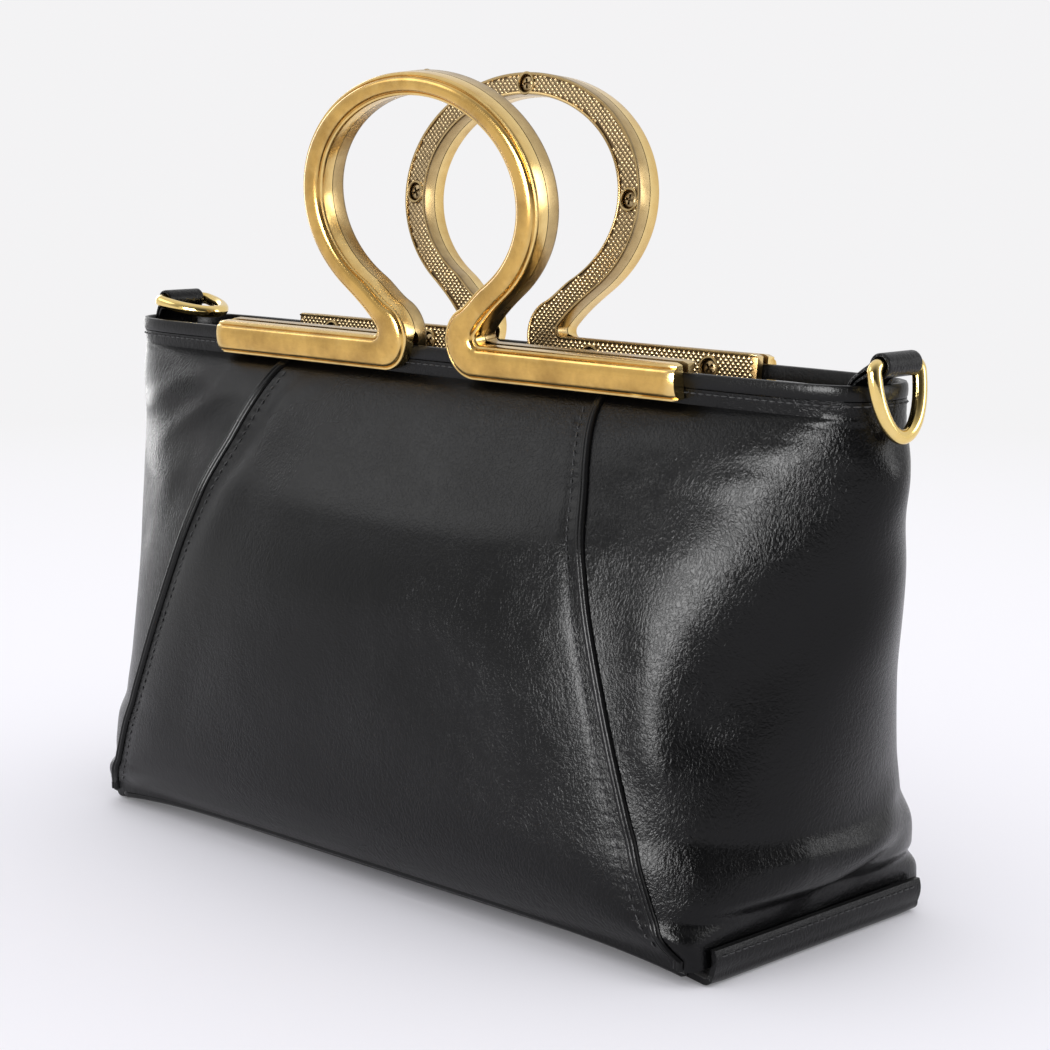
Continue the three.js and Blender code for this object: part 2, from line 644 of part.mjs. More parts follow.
// Leather tab sewn inside the rim's end, folded over the D-ring's straight bar
function strapTab(tab) {
  const { side, middleY } = tab;
  const narrowest = section(PINCH);
  const farEdge = (Math.abs(middleY - narrowest.middle) + TAB_WIDTH / 2) / (narrowest.halfWidth - LEATHER);
  const endX = narrowest.halfLength * (1 - farEdge ** narrowest.wide) ** (1 / narrowest.long);
  const stemX = endX - LEATHER - 2 * CLEARANCE - TAB_LEATHER;
  const foot = new THREE.Vector2(side * stemX, RIM_HEIGHT - TAB_SEWN_DEPTH);
  const knee = new THREE.Vector2(side * stemX, RIM_HEIGHT + TAB_LEATHER);
  const centre = new THREE.Vector2(loopX(tab), LOOP_HEIGHT);
  const bore = D_WIRE / 2 + CLEARANCE;
  const outer = bore + TAB_LEATHER;
  const away = knee.clone().sub(centre).angle();
  const open = Math.asin(TAB_LEATHER / outer);
  const leftOf = (from, to) => to.clone().sub(from).normalize().rotateAround(new THREE.Vector2(), Math.PI / 2);
  const stemLeft = leftOf(foot, knee);
  const kneeLeft = stemLeft.clone().add(leftOf(knee, centre)).normalize();
  const kneeReach = TAB_LEATHER / kneeLeft.dot(stemLeft);
  const beside = (point, left, reach) => point.clone().addScaledVector(left, reach);
  const shape = new THREE.Shape();
  shape.moveTo(...beside(foot, stemLeft, TAB_LEATHER).toArray());
  shape.lineTo(...beside(knee, kneeLeft, kneeReach).toArray());
  shape.absarc(centre.x, centre.y, outer, away - open, away + open - 2 * Math.PI, true);
  shape.lineTo(...beside(knee, kneeLeft, -kneeReach).toArray());
  shape.lineTo(...beside(foot, stemLeft, -TAB_LEATHER).toArray());
  const hole = new THREE.Path();
  hole.absarc(centre.x, centre.y, bore, 0, 2 * Math.PI, false);
  shape.holes.push(hole);
  const geometry = new THREE.ExtrudeGeometry(shape, { depth: TAB_WIDTH, bevelEnabled: false, curveSegments: 10 });
  geometry.rotateX(Math.PI / 2);
  geometry.translate(0, middleY + TAB_WIDTH / 2, 0);
  return geometry;
}

// D-ring: its straight bar lies in the tab's loop and its bow hangs at a slant
function dRing(tab) {
  const { middleY, slant } = tab;
  const half = (D_SPAN - D_WIRE) / 2;
  const drop = D_DROP - D_WIRE;
  const path = new THREE.Path();
  path.moveTo(-(half - D_CORNER), 0);
  path.lineTo(half - D_CORNER, 0);
  path.absarc(half - D_CORNER, D_CORNER, D_CORNER, -Math.PI / 2, 0, false);
  path.absellipse(0, D_CORNER, half, drop - D_CORNER, 0, Math.PI, false);
  path.absarc(-(half - D_CORNER), D_CORNER, D_CORNER, Math.PI, 1.5 * Math.PI, false);
  const points = path.getSpacedPoints(RING_STEPS).slice(0, -1);
  const angle = THREE.MathUtils.degToRad(slant);
  const hang = new THREE.Vector3(Math.sin(angle), 0, -Math.cos(angle));
  const along = new THREE.Vector3(0, 1, 0);
  const aside = new THREE.Vector3().crossVectors(hang, along);
  const centre = new THREE.Vector3(loopX(tab), middleY, LOOP_HEIGHT);
  const sides = 7;
  const rings = points.map((point, i) => {
    const before = points[(i + points.length - 1) % points.length];
    const after = points[(i + 1) % points.length];
    const ahead = after.clone().sub(before).normalize();
    const out = along.clone().multiplyScalar(ahead.y).addScaledVector(hang, -ahead.x);
    const place = centre.clone().addScaledVector(along, point.x).addScaledVector(hang, point.y);
    const ring = [];
    for (let k = 0; k < sides; k += 1) {
      const turn = 2 * Math.PI * k / sides;
      ring.push(place.clone()
        .addScaledVector(out, D_WIRE / 2 * Math.cos(turn))
        .addScaledVector(aside, D_WIRE / 2 * Math.sin(turn)));
    }
    return ring;
  });
  return loft(rings, { closed: true });
}

const bag = new THREE.Group();
bag.add(part('front_panel', bodyPanel(-1), leather()));
bag.add(part('back_panel', bodyPanel(1), leather()));
bag.add(part('gusset_left', gusset(-1), leather()));
bag.add(part('gusset_right', gusset(1), leather()));
bag.add(part('rim_band', rimBand(), leatherEdge()));
bag.add(part('base_panel', basePanel(), leather()));
for (const [faceName, face] of [['front', -1], ['back', 1]]) {
  bag.add(part(`base_welt_${faceName}`, baseWelt(face), leatherEdge()));
  for (const [sideName, side] of [['left', -1], ['right', 1]]) {
    bag.add(part(`seam_piping_${faceName}_${sideName}`, seamPiping(side, face), leatherEdge()));
  }
}
for (const tab of TABS) {
  bag.add(part(`strap_tab_${tab.name}`, strapTab(tab), leather()));
  bag.add(part(`d_ring_${tab.name}`, dRing(tab), gold()));
}
bag.add(handle('front', 0));
bag.add(handle('rear', Math.PI));

export default bag;
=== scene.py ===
"""Ring handle bag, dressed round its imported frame.

A black leather bag whose rim is clamped between brass handle halves, with a D-ring on a tab at each end.
Sizes are in millimetres and each mesh is made in metres: +Z up, +X along the bag, the front towards -Y.
"""

import logging
import math
from dataclasses import dataclass, field
from enum import Enum

import bmesh
import bpy
import numpy as np
from bpy.types import Material, Node, NodeSocket, NodeTree, Object, World
from mathutils import Matrix, Vector


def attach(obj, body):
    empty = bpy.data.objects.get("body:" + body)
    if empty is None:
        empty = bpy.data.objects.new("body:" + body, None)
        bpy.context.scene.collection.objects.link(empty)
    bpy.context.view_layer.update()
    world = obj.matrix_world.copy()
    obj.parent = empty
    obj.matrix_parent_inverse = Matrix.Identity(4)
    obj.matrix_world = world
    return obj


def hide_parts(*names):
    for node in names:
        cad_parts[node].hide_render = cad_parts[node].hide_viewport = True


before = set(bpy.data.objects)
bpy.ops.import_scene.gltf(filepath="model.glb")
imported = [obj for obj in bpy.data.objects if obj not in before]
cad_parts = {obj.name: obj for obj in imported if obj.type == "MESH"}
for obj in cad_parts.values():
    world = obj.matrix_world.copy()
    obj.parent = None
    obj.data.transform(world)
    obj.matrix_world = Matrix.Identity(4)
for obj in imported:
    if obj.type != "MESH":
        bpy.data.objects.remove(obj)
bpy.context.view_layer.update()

LOG = logging.getLogger("bag")
MM = 0.001
WELD = 0.002 * MM
Array = np.ndarray
Pair = tuple[float, float]
Colour = tuple[float, float, float]


class Body(Enum):
    """Bodies of the frame that a piece can ride on."""

    BAG = "bag"
    RING_LEFT = "ring_left"
    RING_RIGHT = "ring_right"


class Way(Enum):
    """One of two ways along an axis, with its sign."""

    @property
    def word(self) -> str:
        """Its name in piece names."""
        return self.name.lower()


class Side(Way):
    """Ends of the bag, along X."""

    LEFT = -1
    RIGHT = 1


class Face(Way):
    """Broad faces of the bag, along Y."""

    FRONT = -1
    BACK = 1


def smoothstep(value: Array, low: float, high: float) -> Array:
    """Smooth rise from 0 at low to 1 at high.

    Args:
        value: Where to read the rise.
        low: Value where the rise starts.
        high: Value where it ends.

    Returns:
        The share risen, from 0 to 1.
    """
    share = np.clip((np.asarray(value, float) - low) / (high - low), 0.0, 1.0)
    return share * share * (3.0 - 2.0 * share)


def unit(vectors: Array) -> Array:
    """Vectors scaled to length 1 along their last axis."""
    return vectors / np.maximum(np.linalg.norm(vectors, axis=-1, keepdims=True), 1e-12)


def run_of(line: Array) -> Array:
    """Distance run along a line at each of its points."""
    return np.concatenate(([0.0], np.cumsum(np.linalg.norm(np.diff(line, axis=0), axis=1))))


def read_rows(at: Array, places: Array, rows: Array) -> Array:
    """Rows of values read between rising places."""
    return np.stack([np.interp(at, places, column) for column in rows.T], -1)


class Table:
    """Named columns over a rising share, joined by smooth curves that never overshoot."""

    def __init__(self, columns: tuple[str, ...], rows: list[tuple[float, ...]]) -> None:
        """Keeps the rows; the first column is the share."""
        values = np.array(rows, float)
        self.share = values[:, 0]
        self.columns = {name: values[:, i] for i, name in enumerate(columns)}

    def at(self, name: str, share: Array) -> Array:
        """One column's value at each share.

        Args:
            name: Column to read.
            share: Where to read it.

        Returns:
            The column's smooth value at each share.
        """
        x, y = self.share, self.columns[name]
        rise = np.diff(y) / np.diff(x)
        product = rise[:-1] * rise[1:]
        total = rise[:-1] + rise[1:]
        inner = np.where(product > 0, 2 * product / np.where(product > 0, total, 1.0), 0.0)
        slope = np.concatenate(([rise[0]], inner, [rise[-1]]))
        at = np.clip(np.asarray(share, float), x[0], x[-1])
        i = np.clip(np.searchsorted(x, at, side="left") - 1, 0, len(x) - 2)
        span = x[i + 1] - x[i]
        t = (at - x[i]) / span
        start = t * (1 - t) ** 2 * span * slope[i]
        end = t**2 * (t - 1) * span * slope[i + 1]
        return y[i] + (y[i + 1] - y[i]) * t * t * (3 - 2 * t) + start + end


class Shape:
    """Vertices and faces of one piece, in millimetres, each face with the number of its finish."""

    def __init__(self) -> None:
        """Starts empty."""
        self.blocks: list[Array] = []
        self.faces: list[tuple[int, ...]] = []
        self.finishes: list[int] = []
        self.count = 0

    def add(self, vertices: Array, faces: list[tuple[int, ...]], finish: int = 0) -> None:
        """Adds vertices and the faces that join them.

        Args:
            vertices: Points, one row each.
            faces: Faces by the points' numbers.
            finish: Number of the faces' finish.
        """
        points = np.asarray(vertices, float).reshape(-1, 3)
        self.faces += [tuple(self.count + i for i in face) for face in faces]
        self.finishes += [finish] * len(faces)
        self.blocks.append(points)
        self.count += len(points)

    def grid(self, points: Array, finish: int = 0, loop: bool = False, ring: bool = False) -> None:
        """Adds a sheet of quads.

        Args:
            points: Rows of points, as an array of rows, columns and 3.
            finish: Number of the faces' finish.
            loop: Whether the last row joins the first.
            ring: Whether the last column joins the first.
        """
        rows, columns = points.shape[:2]
        faces = []
        for r in range(rows if loop else rows - 1):
            for c in range(columns if ring else columns - 1):
                low, high = r * columns, (r + 1) % rows * columns
                d = (c + 1) % columns
                faces.append((low + c, low + d, high + d, high + c))
        self.add(points, faces, finish)

    def sweep(self, rings: Array, finish: int = 0, closed: bool = False) -> None:
        """Adds a solid through closed rings of points.

        Args:
            rings: Array of rings, points and 3.
            finish: Number of the faces' finish.
            closed: Whether the last ring joins the first; otherwise both ends are capped.
        """
        self.grid(rings, finish, loop=closed, ring=True)
        if not closed:
            for end in (rings[0], rings[-1]):
                self.add(end, [tuple(range(len(end)))], finish)

    def sheet(self, outer: Array, inner: Array, lining: int = 0) -> None:
        """Adds a closed sheet from its outer and inner surfaces.

        Args:
            outer: Rows of points on the outer side.
            inner: The same rows on the inner side.
            lining: Number of the inner side's finish.
        """
        self.grid(outer)
        self.grid(inner, lining)
        for strip in (
            np.stack((outer[0], inner[0])),
            np.stack((outer[-1], inner[-1])),
            np.stack((outer[:, 0], inner[:, 0])),
            np.stack((outer[:, -1], inner[:, -1])),
        ):
            self.grid(strip)

    def build(self, name: str, materials: list[Material], sharp: float = 38.0) -> Object:
        """Makes the object, with its vertices welded and its faces turned outwards.

        Args:
            name: The object's name.
            materials: One material for each number of finish.
            sharp: Least angle in degrees of an edge that stays sharp.

        Returns:
            The new object.
        """
        mesh = bpy.data.meshes.new(name)
        points = np.concatenate(self.blocks) * MM
        mesh.from_pydata(points.tolist(), [], self.faces)
        mesh.polygons.foreach_set("material_index", self.finishes)
        work = bmesh.new()
        work.from_mesh(mesh)
        bmesh.ops.remove_doubles(work, verts=work.verts, dist=WELD)
        bmesh.ops.recalc_face_normals(work, faces=work.faces)
        work.to_mesh(mesh)
        work.free()
        for material in materials:
            mesh.materials.append(material)
        mesh.shade_smooth()
        mesh.set_sharp_from_angle(angle=math.radians(sharp))
        piece = bpy.data.objects.new(name, mesh)
        bpy.context.scene.collection.objects.link(piece)
        return piece


def place(piece: Object, body: Body, slot: str, nodes: list[str]) -> Object:
    """Seats a piece on its body in the place of its CAD nodes.

    Args:
        piece: The finished piece.
        body: Body that it rides on.
        slot: Material slot of the record; not used.
        nodes: CAD nodes that it stands for.

    Returns:
        The same piece.
    """
    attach(piece, body.value)
    if nodes:
        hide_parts(*nodes)
    LOG.info("%s: %d faces on %s", piece.name, len(piece.data.polygons), body.value)
    return piece


def tube_rings(path: Array, aside: Array, profile: Array, closed: bool) -> Array:
    """Rings of a section carried along a flat path.

    Args:
        path: Points of the path.
        aside: Direction square to the path's plane.
        profile: Section points, as pairs across the path and aside from it.
        closed: Whether the path closes on itself.

    Returns:
        Array of rings, section points and 3.
    """
    if closed:
        ahead = np.roll(path, -1, 0) - np.roll(path, 1, 0)
    else:
        ahead = np.gradient(path, axis=0)
    across = unit(np.cross(unit(ahead), aside))
    return path[:, None] + profile[None, :, :1] * across[:, None] + profile[None, :, 1:] * aside


def arc(radius: float, angle: Array) -> Array:
    """Points of an arc about the origin as pairs."""
    return radius * np.stack((np.cos(angle), np.sin(angle)), -1)


def circle(radius: float, steps: int) -> Array:
    """Points round a circle as pairs."""
    return arc(radius, np.linspace(0, 2 * math.pi, steps, endpoint=False))


def stitch_line(
    shape: Shape, points: Array, outward: Array, size: Pair, pitch: float, finish: int
) -> None:
    """Adds a row of stitches along a line on a surface.

    Args:
        shape: Shape that the stitches join.
        points: Line on the surface.
        outward: Surface direction at each point.
        size: A stitch's length and thickness.
        pitch: Distance from one stitch to the next.
        finish: Number of the thread's finish.
    """
    length, thick = size
    run = run_of(points)
    steps = np.linspace(-0.5, 0.5, 7)
    section = circle(0.5, 6)
    for middle in np.arange(pitch / 2, run[-1], pitch):
        at = middle + steps * length
        line = read_rows(at, run, points)
        out = unit(read_rows(at, run, outward))
        across = unit(np.cross(np.gradient(line, axis=0), out))
        swell = np.sqrt(np.maximum(1 - (steps / 0.52) ** 2, 0.03)) * thick
        line = line + out * thick * (0.30 - 1.8 * steps[:, None] ** 2)
        rings = line[:, None] + swell[:, None, None] * (
            section[None, :, :1] * across[:, None] + section[None, :, 1:] * out[:, None]
        )
        shape.sweep(rings, finish)


@dataclass(frozen=True)
class Fold:
    """A long soft fold of a wall: along and up say where it starts and ends, as shares of the wall."""

    along: float
    up: float
    to_along: float
    to_up: float
    breadth: float
    depth: float

    def push(self, along: Array, up: Array, size: Pair, taper: bool) -> Array:
        """How far the fold pushes the wall out.

        Args:
            along: Shares along the wall.
            up: Shares up the wall, of the same shape.
            size: The wall's length and height, in the units of the fold's breadth and depth.
            taper: Whether the fold fades towards its ends.

        Returns:
            The push at each place.
        """
        start = np.array([self.along, self.up]) * size
        way = np.array([self.to_along, self.to_up]) * size - start
        place = np.stack((along, up), -1) * size - start
        t = np.clip((place @ way) / (way @ way), 0.0, 1.0)
        away = np.linalg.norm(place - t[..., None] * way, axis=-1) / (self.breadth * size[1])
        swell = np.sin(np.pi * (0.08 + 0.84 * t)) if taper else 1.0
        return self.depth * size[1] * swell * np.exp(-(away**2))


@dataclass
class BagForm:
    """The leather body's form, which its walls, seams and rim follow."""

    base_length: float = 302.0
    base_width: float = 106.0
    rim_length: float = 354.0
    rim_width: float = 40.4
    rim_height: float = 183.0
    rim_forward: float = 6.0
    belly_out: float = 26.0
    end_out: float = 8.0
    front_overhang: float = 6.0
    leather: float = 2.0
    rim_band: float = 4.8
    clearance: float = 0.3
    base_thickness: float = 2.0
    lip_height: float = 12.0
    lip_bend: float = 4.0
    edge_lift: float = 5.0
    welt: float = 3.0
    seam_foot_span: float = 279.0
    seam_top_span: float = 156.0
    seam_bow: float = 1.2
    seam_flare: float = 3.0
    lean: float = math.radians(5.7)
    bar_height: float = 180.0
    bar_width: float = 12.0
    shell_depth: float = 5.5
    sections: Table = field(
        default_factory=lambda: Table(
            ("up", "end", "belly", "long", "wide"),
            [
                (0.000, 0.00, 0.00, 60.0, 20.0),
                (0.027, 0.00, 0.15, 40.0, 12.0),
                (0.063, 0.12, 0.31, 16.0, 5.0),
                (0.106, 1.05, 0.46, 9.0, 3.0),
                (0.160, 1.48, 0.59, 7.0, 2.3),
                (0.221, 1.06, 0.68, 6.3, 2.0),
                (0.312, 0.93, 0.79, 5.0, 2.0),
                (0.464, 0.92, 0.92, 3.6, 2.0),
                (0.585, 1.05, 1.00, 2.8, 2.0),
                (0.707, 1.11, 0.93, 2.6, 2.0),
                (0.828, 1.03, 0.65, 2.8, 2.0),
                (0.889, 0.85, 0.48, 3.7, 2.0),
                (0.950, 0.31, 0.29, 6.0, 2.4),
                (0.983, 0.08, 0.14, 9.0, 2.5),
                (1.000, 0.00, 0.00, 16.0, 2.5),
            ],
        )
    )
    gusset_folds: dict[Side, list[Fold]] = field(
        default_factory=lambda: {
            Side.RIGHT: [
                Fold(0.30, 0.94, 0.06, 0.38, 0.10, 0.016),
                Fold(0.52, 0.78, 0.20, 0.42, 0.08, -0.011),
            ],
            Side.LEFT: [
                Fold(0.30, 0.90, 0.14, 0.72, 0.06, 0.006),
                Fold(0.42, 0.80, 0.22, 0.60, 0.06, -0.005),
            ],
        }
    )

    @property
    def foot(self) -> float:
        """Height of the wall's lower edge at the middle of the base."""
        return self.edge_lift + self.welt + 2 * self.clearance

    @property
    def lip_top(self) -> float:
        """Height just over the base's end lips."""
        return self.lip_height + self.clearance

    @property
    def pinch(self) -> float:
        """Height where the handles start to pinch the wall."""
        thick = self.shell_depth + self.leather
        drop = self.bar_width / 2 * math.cos(self.lean) + thick * math.sin(self.lean)
        return self.bar_height - drop - self.clearance

    @property
    def band_foot(self) -> float:
        """Height of the rim band's lower edge."""
        return self.rim_height - self.rim_band

    def up(self, z: Array) -> Array:
        """Share of the way up from the foot to the pinch."""
        return np.clip((np.asarray(z, float) - self.foot) / (self.pinch - self.foot), 0.0, 1.0)

    def section(self, z: Array) -> tuple[Array, ...]:
        """Plan section at a height.

        Args:
            z: Heights.

        Returns:
            Half-length, half-width, squareness along and across, and the middle's Y.
        """
        z = np.asarray(z, float)
        up = self.up(z)
        length_up = np.clip((z - self.lip_top) / (self.pinch - self.lip_top), 0.0, 1.0)
        clamp = self.rim_width / 2 + math.tan(self.lean) * (z - self.bar_height)
        clamp_foot = self.rim_width / 2 + math.tan(self.lean) * (self.pinch - self.bar_height)
        foot_length = self.base_length / 2 - self.base_thickness - self.clearance
        foot_width = self.base_width / 2 + self.front_overhang
        half_length = foot_length + (self.rim_length / 2 - foot_length) * length_up
        half_length = half_length + self.end_out * self.sections.at("end", up)
        half_width = foot_width + (clamp_foot - foot_width) * up
        half_width = half_width + self.belly_out * self.sections.at("belly", up)
        half_width = np.where(z > self.pinch, clamp, half_width)
        middle = -self.rim_forward * z / self.rim_height
        return half_length, half_width, self.sections.at("long", up), self.sections.at("wide", up), middle

    def level(self, points: Array) -> Array:
        """Level of each point against the outer surface: 1 on it, less inside."""
        half_length, half_width, along, across, middle = self.section(points[..., 2])
        return (
            np.abs(points[..., 0] / half_length) ** along
            + np.abs((points[..., 1] - middle) / half_width) ** across
        )

    def outward(self, points: Array) -> Array:
        """Outward direction of the surface at each point on it."""
        step = 0.2
        slopes = []
        for k in range(3):
            move = np.zeros(3)
            move[k] = step
            slopes.append(self.level(points + move) - self.level(points - move))
        return unit(np.stack(slopes, -1))

    def seam_half_span(self, z: Array) -> Array:
        """Half the distance between the two seams at a height."""
        up = self.up(z)
        flare = self.seam_flare * np.maximum(0.0, 1 - up * self.pinch / self.lip_height) ** 2
        straight = (self.seam_foot_span + (self.seam_top_span - self.seam_foot_span) * up) / 2
        return straight - self.seam_bow * 4 * up * (1 - up) + flare

    def edge_rise(self, x: Array) -> Array:
        """How far the base's long edges lift off the ground at an x."""
        share = np.minimum(1.0, np.abs(2 * np.asarray(x, float) / self.base_length))
        return self.edge_lift * (1 - share**5)

    @property
    def corner(self) -> float:
        """Height of the walls' lower edge at the seams."""
        seam = self.seam_half_span(np.array(self.foot))
        return self.foot - self.edge_lift + float(self.edge_rise(seam))

    def wall(self, x: Array, z: Array, face: Face) -> Array:
        """Points of the front or back wall.

        Args:
            x: Places along the bag.
            z: Heights, of the same shape.
            face: Which wall.

        Returns:
            Points on the smooth wall.
        """
        half_length, half_width, along, across, middle = self.section(z)
        bulge = np.maximum(1 - np.abs(x / half_length) ** along, 0.0) ** (1 / across)
        return np.stack((x, middle + face.value * half_width * bulge, z), -1)

    def end(self, side: Side, along: Array, z: float, gap: float) -> Array:
        """Points of an end wall at one height.

        Args:
            side: Which end.
            along: Shares from the front seam round to the back seam.
            z: Height.
            gap: How far past the seam the wall starts.

        Returns:
            Points on the smooth wall.
        """
        half_length, half_width, squareness, across, middle = (float(v) for v in self.section(z))
        first = (float(self.seam_half_span(z)) + gap) / half_length
        quarter = 120
        step = np.arange(-quarter, quarter + 1)
        inward = 1 - np.abs(step) / quarter
        x = np.minimum(1.0, 1 - (1 - first) * (1 - inward) ** across)
        y = np.sign(step) * half_width * (1 - x**squareness) ** (1 / across)
        line = np.stack((side.value * x * half_length, middle + y, np.full(len(step), z)), -1)
        run = run_of(line)
        return read_rows(along * run[-1], run, line)

    def fold_height(self, side: Side, along: Array, z: Array) -> Array:
        """How far the folds push an end wall out."""
        up = (z - self.foot) / (self.pinch - self.foot)
        size = (self.rim_length - self.seam_top_span, self.rim_height)
        height = sum(fold.push(along, up, size, False) for fold in self.gusset_folds[side])
        return height * smoothstep(np.minimum(along, 1 - along), 0, 0.12) * smoothstep(1 - up, 0.03, 0.15)


@dataclass
class Leatherwork:
    """The walls, seams, rim and base of the leather body."""

    form: BagForm
    rows: int = 150
    panel_columns: int = 84
    gusset_columns: int = 110
    piping_width: float = 3.4
    piping_height: float = 1.3
    stitch: Pair = (2.5, 0.62)
    stitch_pitch: float = 3.3
    seam_stitch_away: float = 5.2
    pucker: float = 0.5
    lip_swell: float = 1.1
    lip_inset: float = 2.1
    lip_span: float = 105.0
    lip_stitch_span: float = 100.0
    lip_stitch_pitch: float = 3.2
    rim_stitch_drop: float = 1.5
    rim_stitch_pitch: float = 3.1
    stitch_lift: float = 0.05
    strip_ends: Pair = (1.0, 0.4)
    stitch_ends: Pair = (6.0, 3.0)
    edge_curl: float = 9.0
    dent_share: dict[Face, float] = field(default_factory=lambda: {Face.FRONT: 1.0, Face.BACK: 0.7})

    def heights(self, foot: Array) -> Array:
        """Heights of the wall's rows over each place of its foot.

        Args:
            foot: Height of the lower edge at each column.

        Returns:
            Array of rows and columns.
        """
        form = self.form
        share = (1 - np.cos(np.pi * np.linspace(0, 1, self.rows))) / 2
        share = 0.55 * share + 0.45 * np.linspace(0, 1, self.rows)
        low = form.lip_top
        top = form.band_foot - form.clearance
        body = low + (form.pinch - low) * share
        under = np.array([0.0, 0.25, 0.5, 0.75])[:, None] * (low - foot)[None] + foot[None]
        over = np.array([0.35, 0.7, 1.0])[:, None] * (top - form.pinch) + form.pinch
        body = np.repeat(body[:, None], len(foot), 1)
        over = np.repeat(over, len(foot), 1)
        return np.concatenate((under, body, over))

    def panel_relief(self, face: Face, points: Array) -> Array:
        """Soft dents of a broad wall, and the puckers beside its seams.

        Args:
            face: Which wall.
            points: Points on the smooth wall.

        Returns:
            How far each point moves out.
        """
        form = self.form
        x, z = points[..., 0], points[..., 2]
        up = form.up(z)
        half = form.seam_half_span(z)
        height = sum(dent.push(x, z) for dent in PANEL_DENTS) * self.dent_share[face]
        away = half - np.abs(x)
        near = np.exp(-(((away - self.seam_stitch_away) / 1.5) ** 2))
        wave = 0.55 + 0.45 * np.cos(2 * np.pi * z / self.stitch_pitch)
        height = height * smoothstep(away, 0, 14) - self.pucker * near * wave
        return height * smoothstep(up, 0.0, 0.04) * smoothstep(1 - up, 0.0, 0.05)

    def panel(self, face: Face, leather: list[Material]) -> Object:
        """Front or back wall between its seams.

        Args:
            face: Which wall.
            leather: Outer leather and lining.

        Returns:
            The wall.
        """
        form = self.form
        share = np.linspace(-1, 1, self.panel_columns)
        share = 0.62 * share + 0.38 * np.sin(share * np.pi / 2)
        foot_half = float(form.seam_half_span(np.array(form.foot)))
        foot = form.foot - form.edge_lift + form.edge_rise(share * foot_half)
        z = self.heights(foot)
        x = share[None] * (form.seam_half_span(z) - form.clearance / 2)
        flat = form.wall(x, z, face)
        return self.sheet(f"{face.word}_panel_leather", flat, self.panel_relief(face, flat), leather)

    def gusset(self, side: Side, leather: list[Material]) -> Object:
        """End wall from the front seam round to the back seam.

        Args:
            side: Which end.
            leather: Outer leather and lining.

        Returns:
            The wall.
        """
        form = self.form
        along = np.linspace(0, 1, self.gusset_columns)
        tuck = smoothstep(np.minimum(along, 1 - along), 0, 0.1)
        foot = form.corner + (form.base_thickness + form.lip_bend - form.corner) * tuck
        z = self.heights(foot)
        flat = np.empty(z.shape + (3,))
        for row in range(len(z)):
            if np.ptp(z[row]) < 1e-9:
                flat[row] = form.end(side, along, float(z[row, 0]), form.clearance / 2)
                continue
            for column in range(len(along)):
                at = form.end(side, along[column : column + 1], float(z[row, column]), form.clearance / 2)
                flat[row, column] = at[0]
        shares = np.broadcast_to(along, z.shape)
        height = form.fold_height(side, shares, z) + self.end_relief(side, shares, z)
        return self.sheet(f"gusset_leather_{side.word}", flat, height, leather)

    def sheet(self, name: str, flat: Array, height: Array, leather: list[Material]) -> Object:
        """A wall as a sheet of leather.

        Args:
            name: Name of the piece.
            flat: Points on the smooth wall.
            height: How far each point moves out.
            leather: Outer leather and lining.

        Returns:
            The wall.
        """
        outward = self.form.outward(flat)
        outer = flat + outward * height[..., None]
        shape = Shape()
        shape.sheet(outer, outer - outward * self.form.leather, lining=1)
        return shape.build(name, leather)

    def end_relief(self, side: Side, along: Array, z: Array) -> Array:
        """Fine creases of an end wall.

        Args:
            side: Which end.
            along: Shares from the front seam to the back seam.
            z: Heights.

        Returns:
            How far each point moves out.
        """
        up = self.form.up(z)
        height = sum(crease.push(along, up, (1.0, 1.0), True) for crease in END_CREASES[side])
        return height * smoothstep(np.minimum(along, 1 - along), 0, 0.05) * smoothstep(1 - up, 0.0, 0.06)

    def surface(self, face: Face, x: Array, z: Array) -> tuple[Array, Array]:
        """Points and outward directions of a dented wall.

        Args:
            face: Which wall.
            x: Places along the bag.
            z: Heights.

        Returns:
            The points and the directions.
        """
        flat = self.form.wall(x, z, face)
        outward = self.form.outward(flat)
        return flat + outward * self.panel_relief(face, flat)[..., None], outward

    def piping(self, side: Side, face: Face, finishes: list[Material]) -> Object:
        """Raised, folded strip on a seam, with the stitches beside it.

        Args:
            side: End that the seam is nearer to.
            face: Face that it runs up.
            finishes: Edge leather and thread.

        Returns:
            The strip.
        """
        form = self.form
        z = np.linspace(form.corner + self.strip_ends[0], form.pinch - self.strip_ends[1], 190)
        half = form.seam_half_span(z)
        rings = []
        for across, out in SEAM_PROFILE:
            flat = form.wall(side.value * (half + across * self.piping_width), z, face)
            rings.append(flat + form.outward(flat) * (form.clearance * 0.5 + out * self.piping_height))
        shape = Shape()
        shape.sweep(np.stack(rings, 1))
        z = np.linspace(form.corner + self.stitch_ends[0], form.pinch - self.stitch_ends[1], 120)
        x = side.value * (form.seam_half_span(z) - self.seam_stitch_away)
        line, outward = self.surface(face, x, z)
        stitch_line(shape, line, outward, self.stitch, self.stitch_pitch, 1)
        return shape.build(f"seam_strip_{face.word}_{side.word}", finishes)

    def rim_loop(self, z: float, grow: float, steps: int = 96) -> tuple[Array, Array]:
        """Closed line round the body at a height.

        Args:
            z: Height.
            grow: How far outside the wall it runs.
            steps: Points along each wall.

        Returns:
            Points and outward directions.
        """
        form = self.form
        seam = float(form.seam_half_span(np.array(z)))
        x = np.linspace(-seam, seam, steps, endpoint=False)
        share = np.linspace(0, 1, steps, endpoint=False)
        height = np.full(steps, z)
        line = np.concatenate(
            (
                form.wall(x, height, Face.FRONT),
                form.end(Side.RIGHT, share, z, 0.0),
                form.wall(-x, height, Face.BACK),
                form.end(Side.LEFT, 1 - share, z, 0.0),
            )
        )
        outward = form.outward(line)
        outward[:, 2] = 0.0
        outward = unit(outward)
        return line + outward * grow, outward

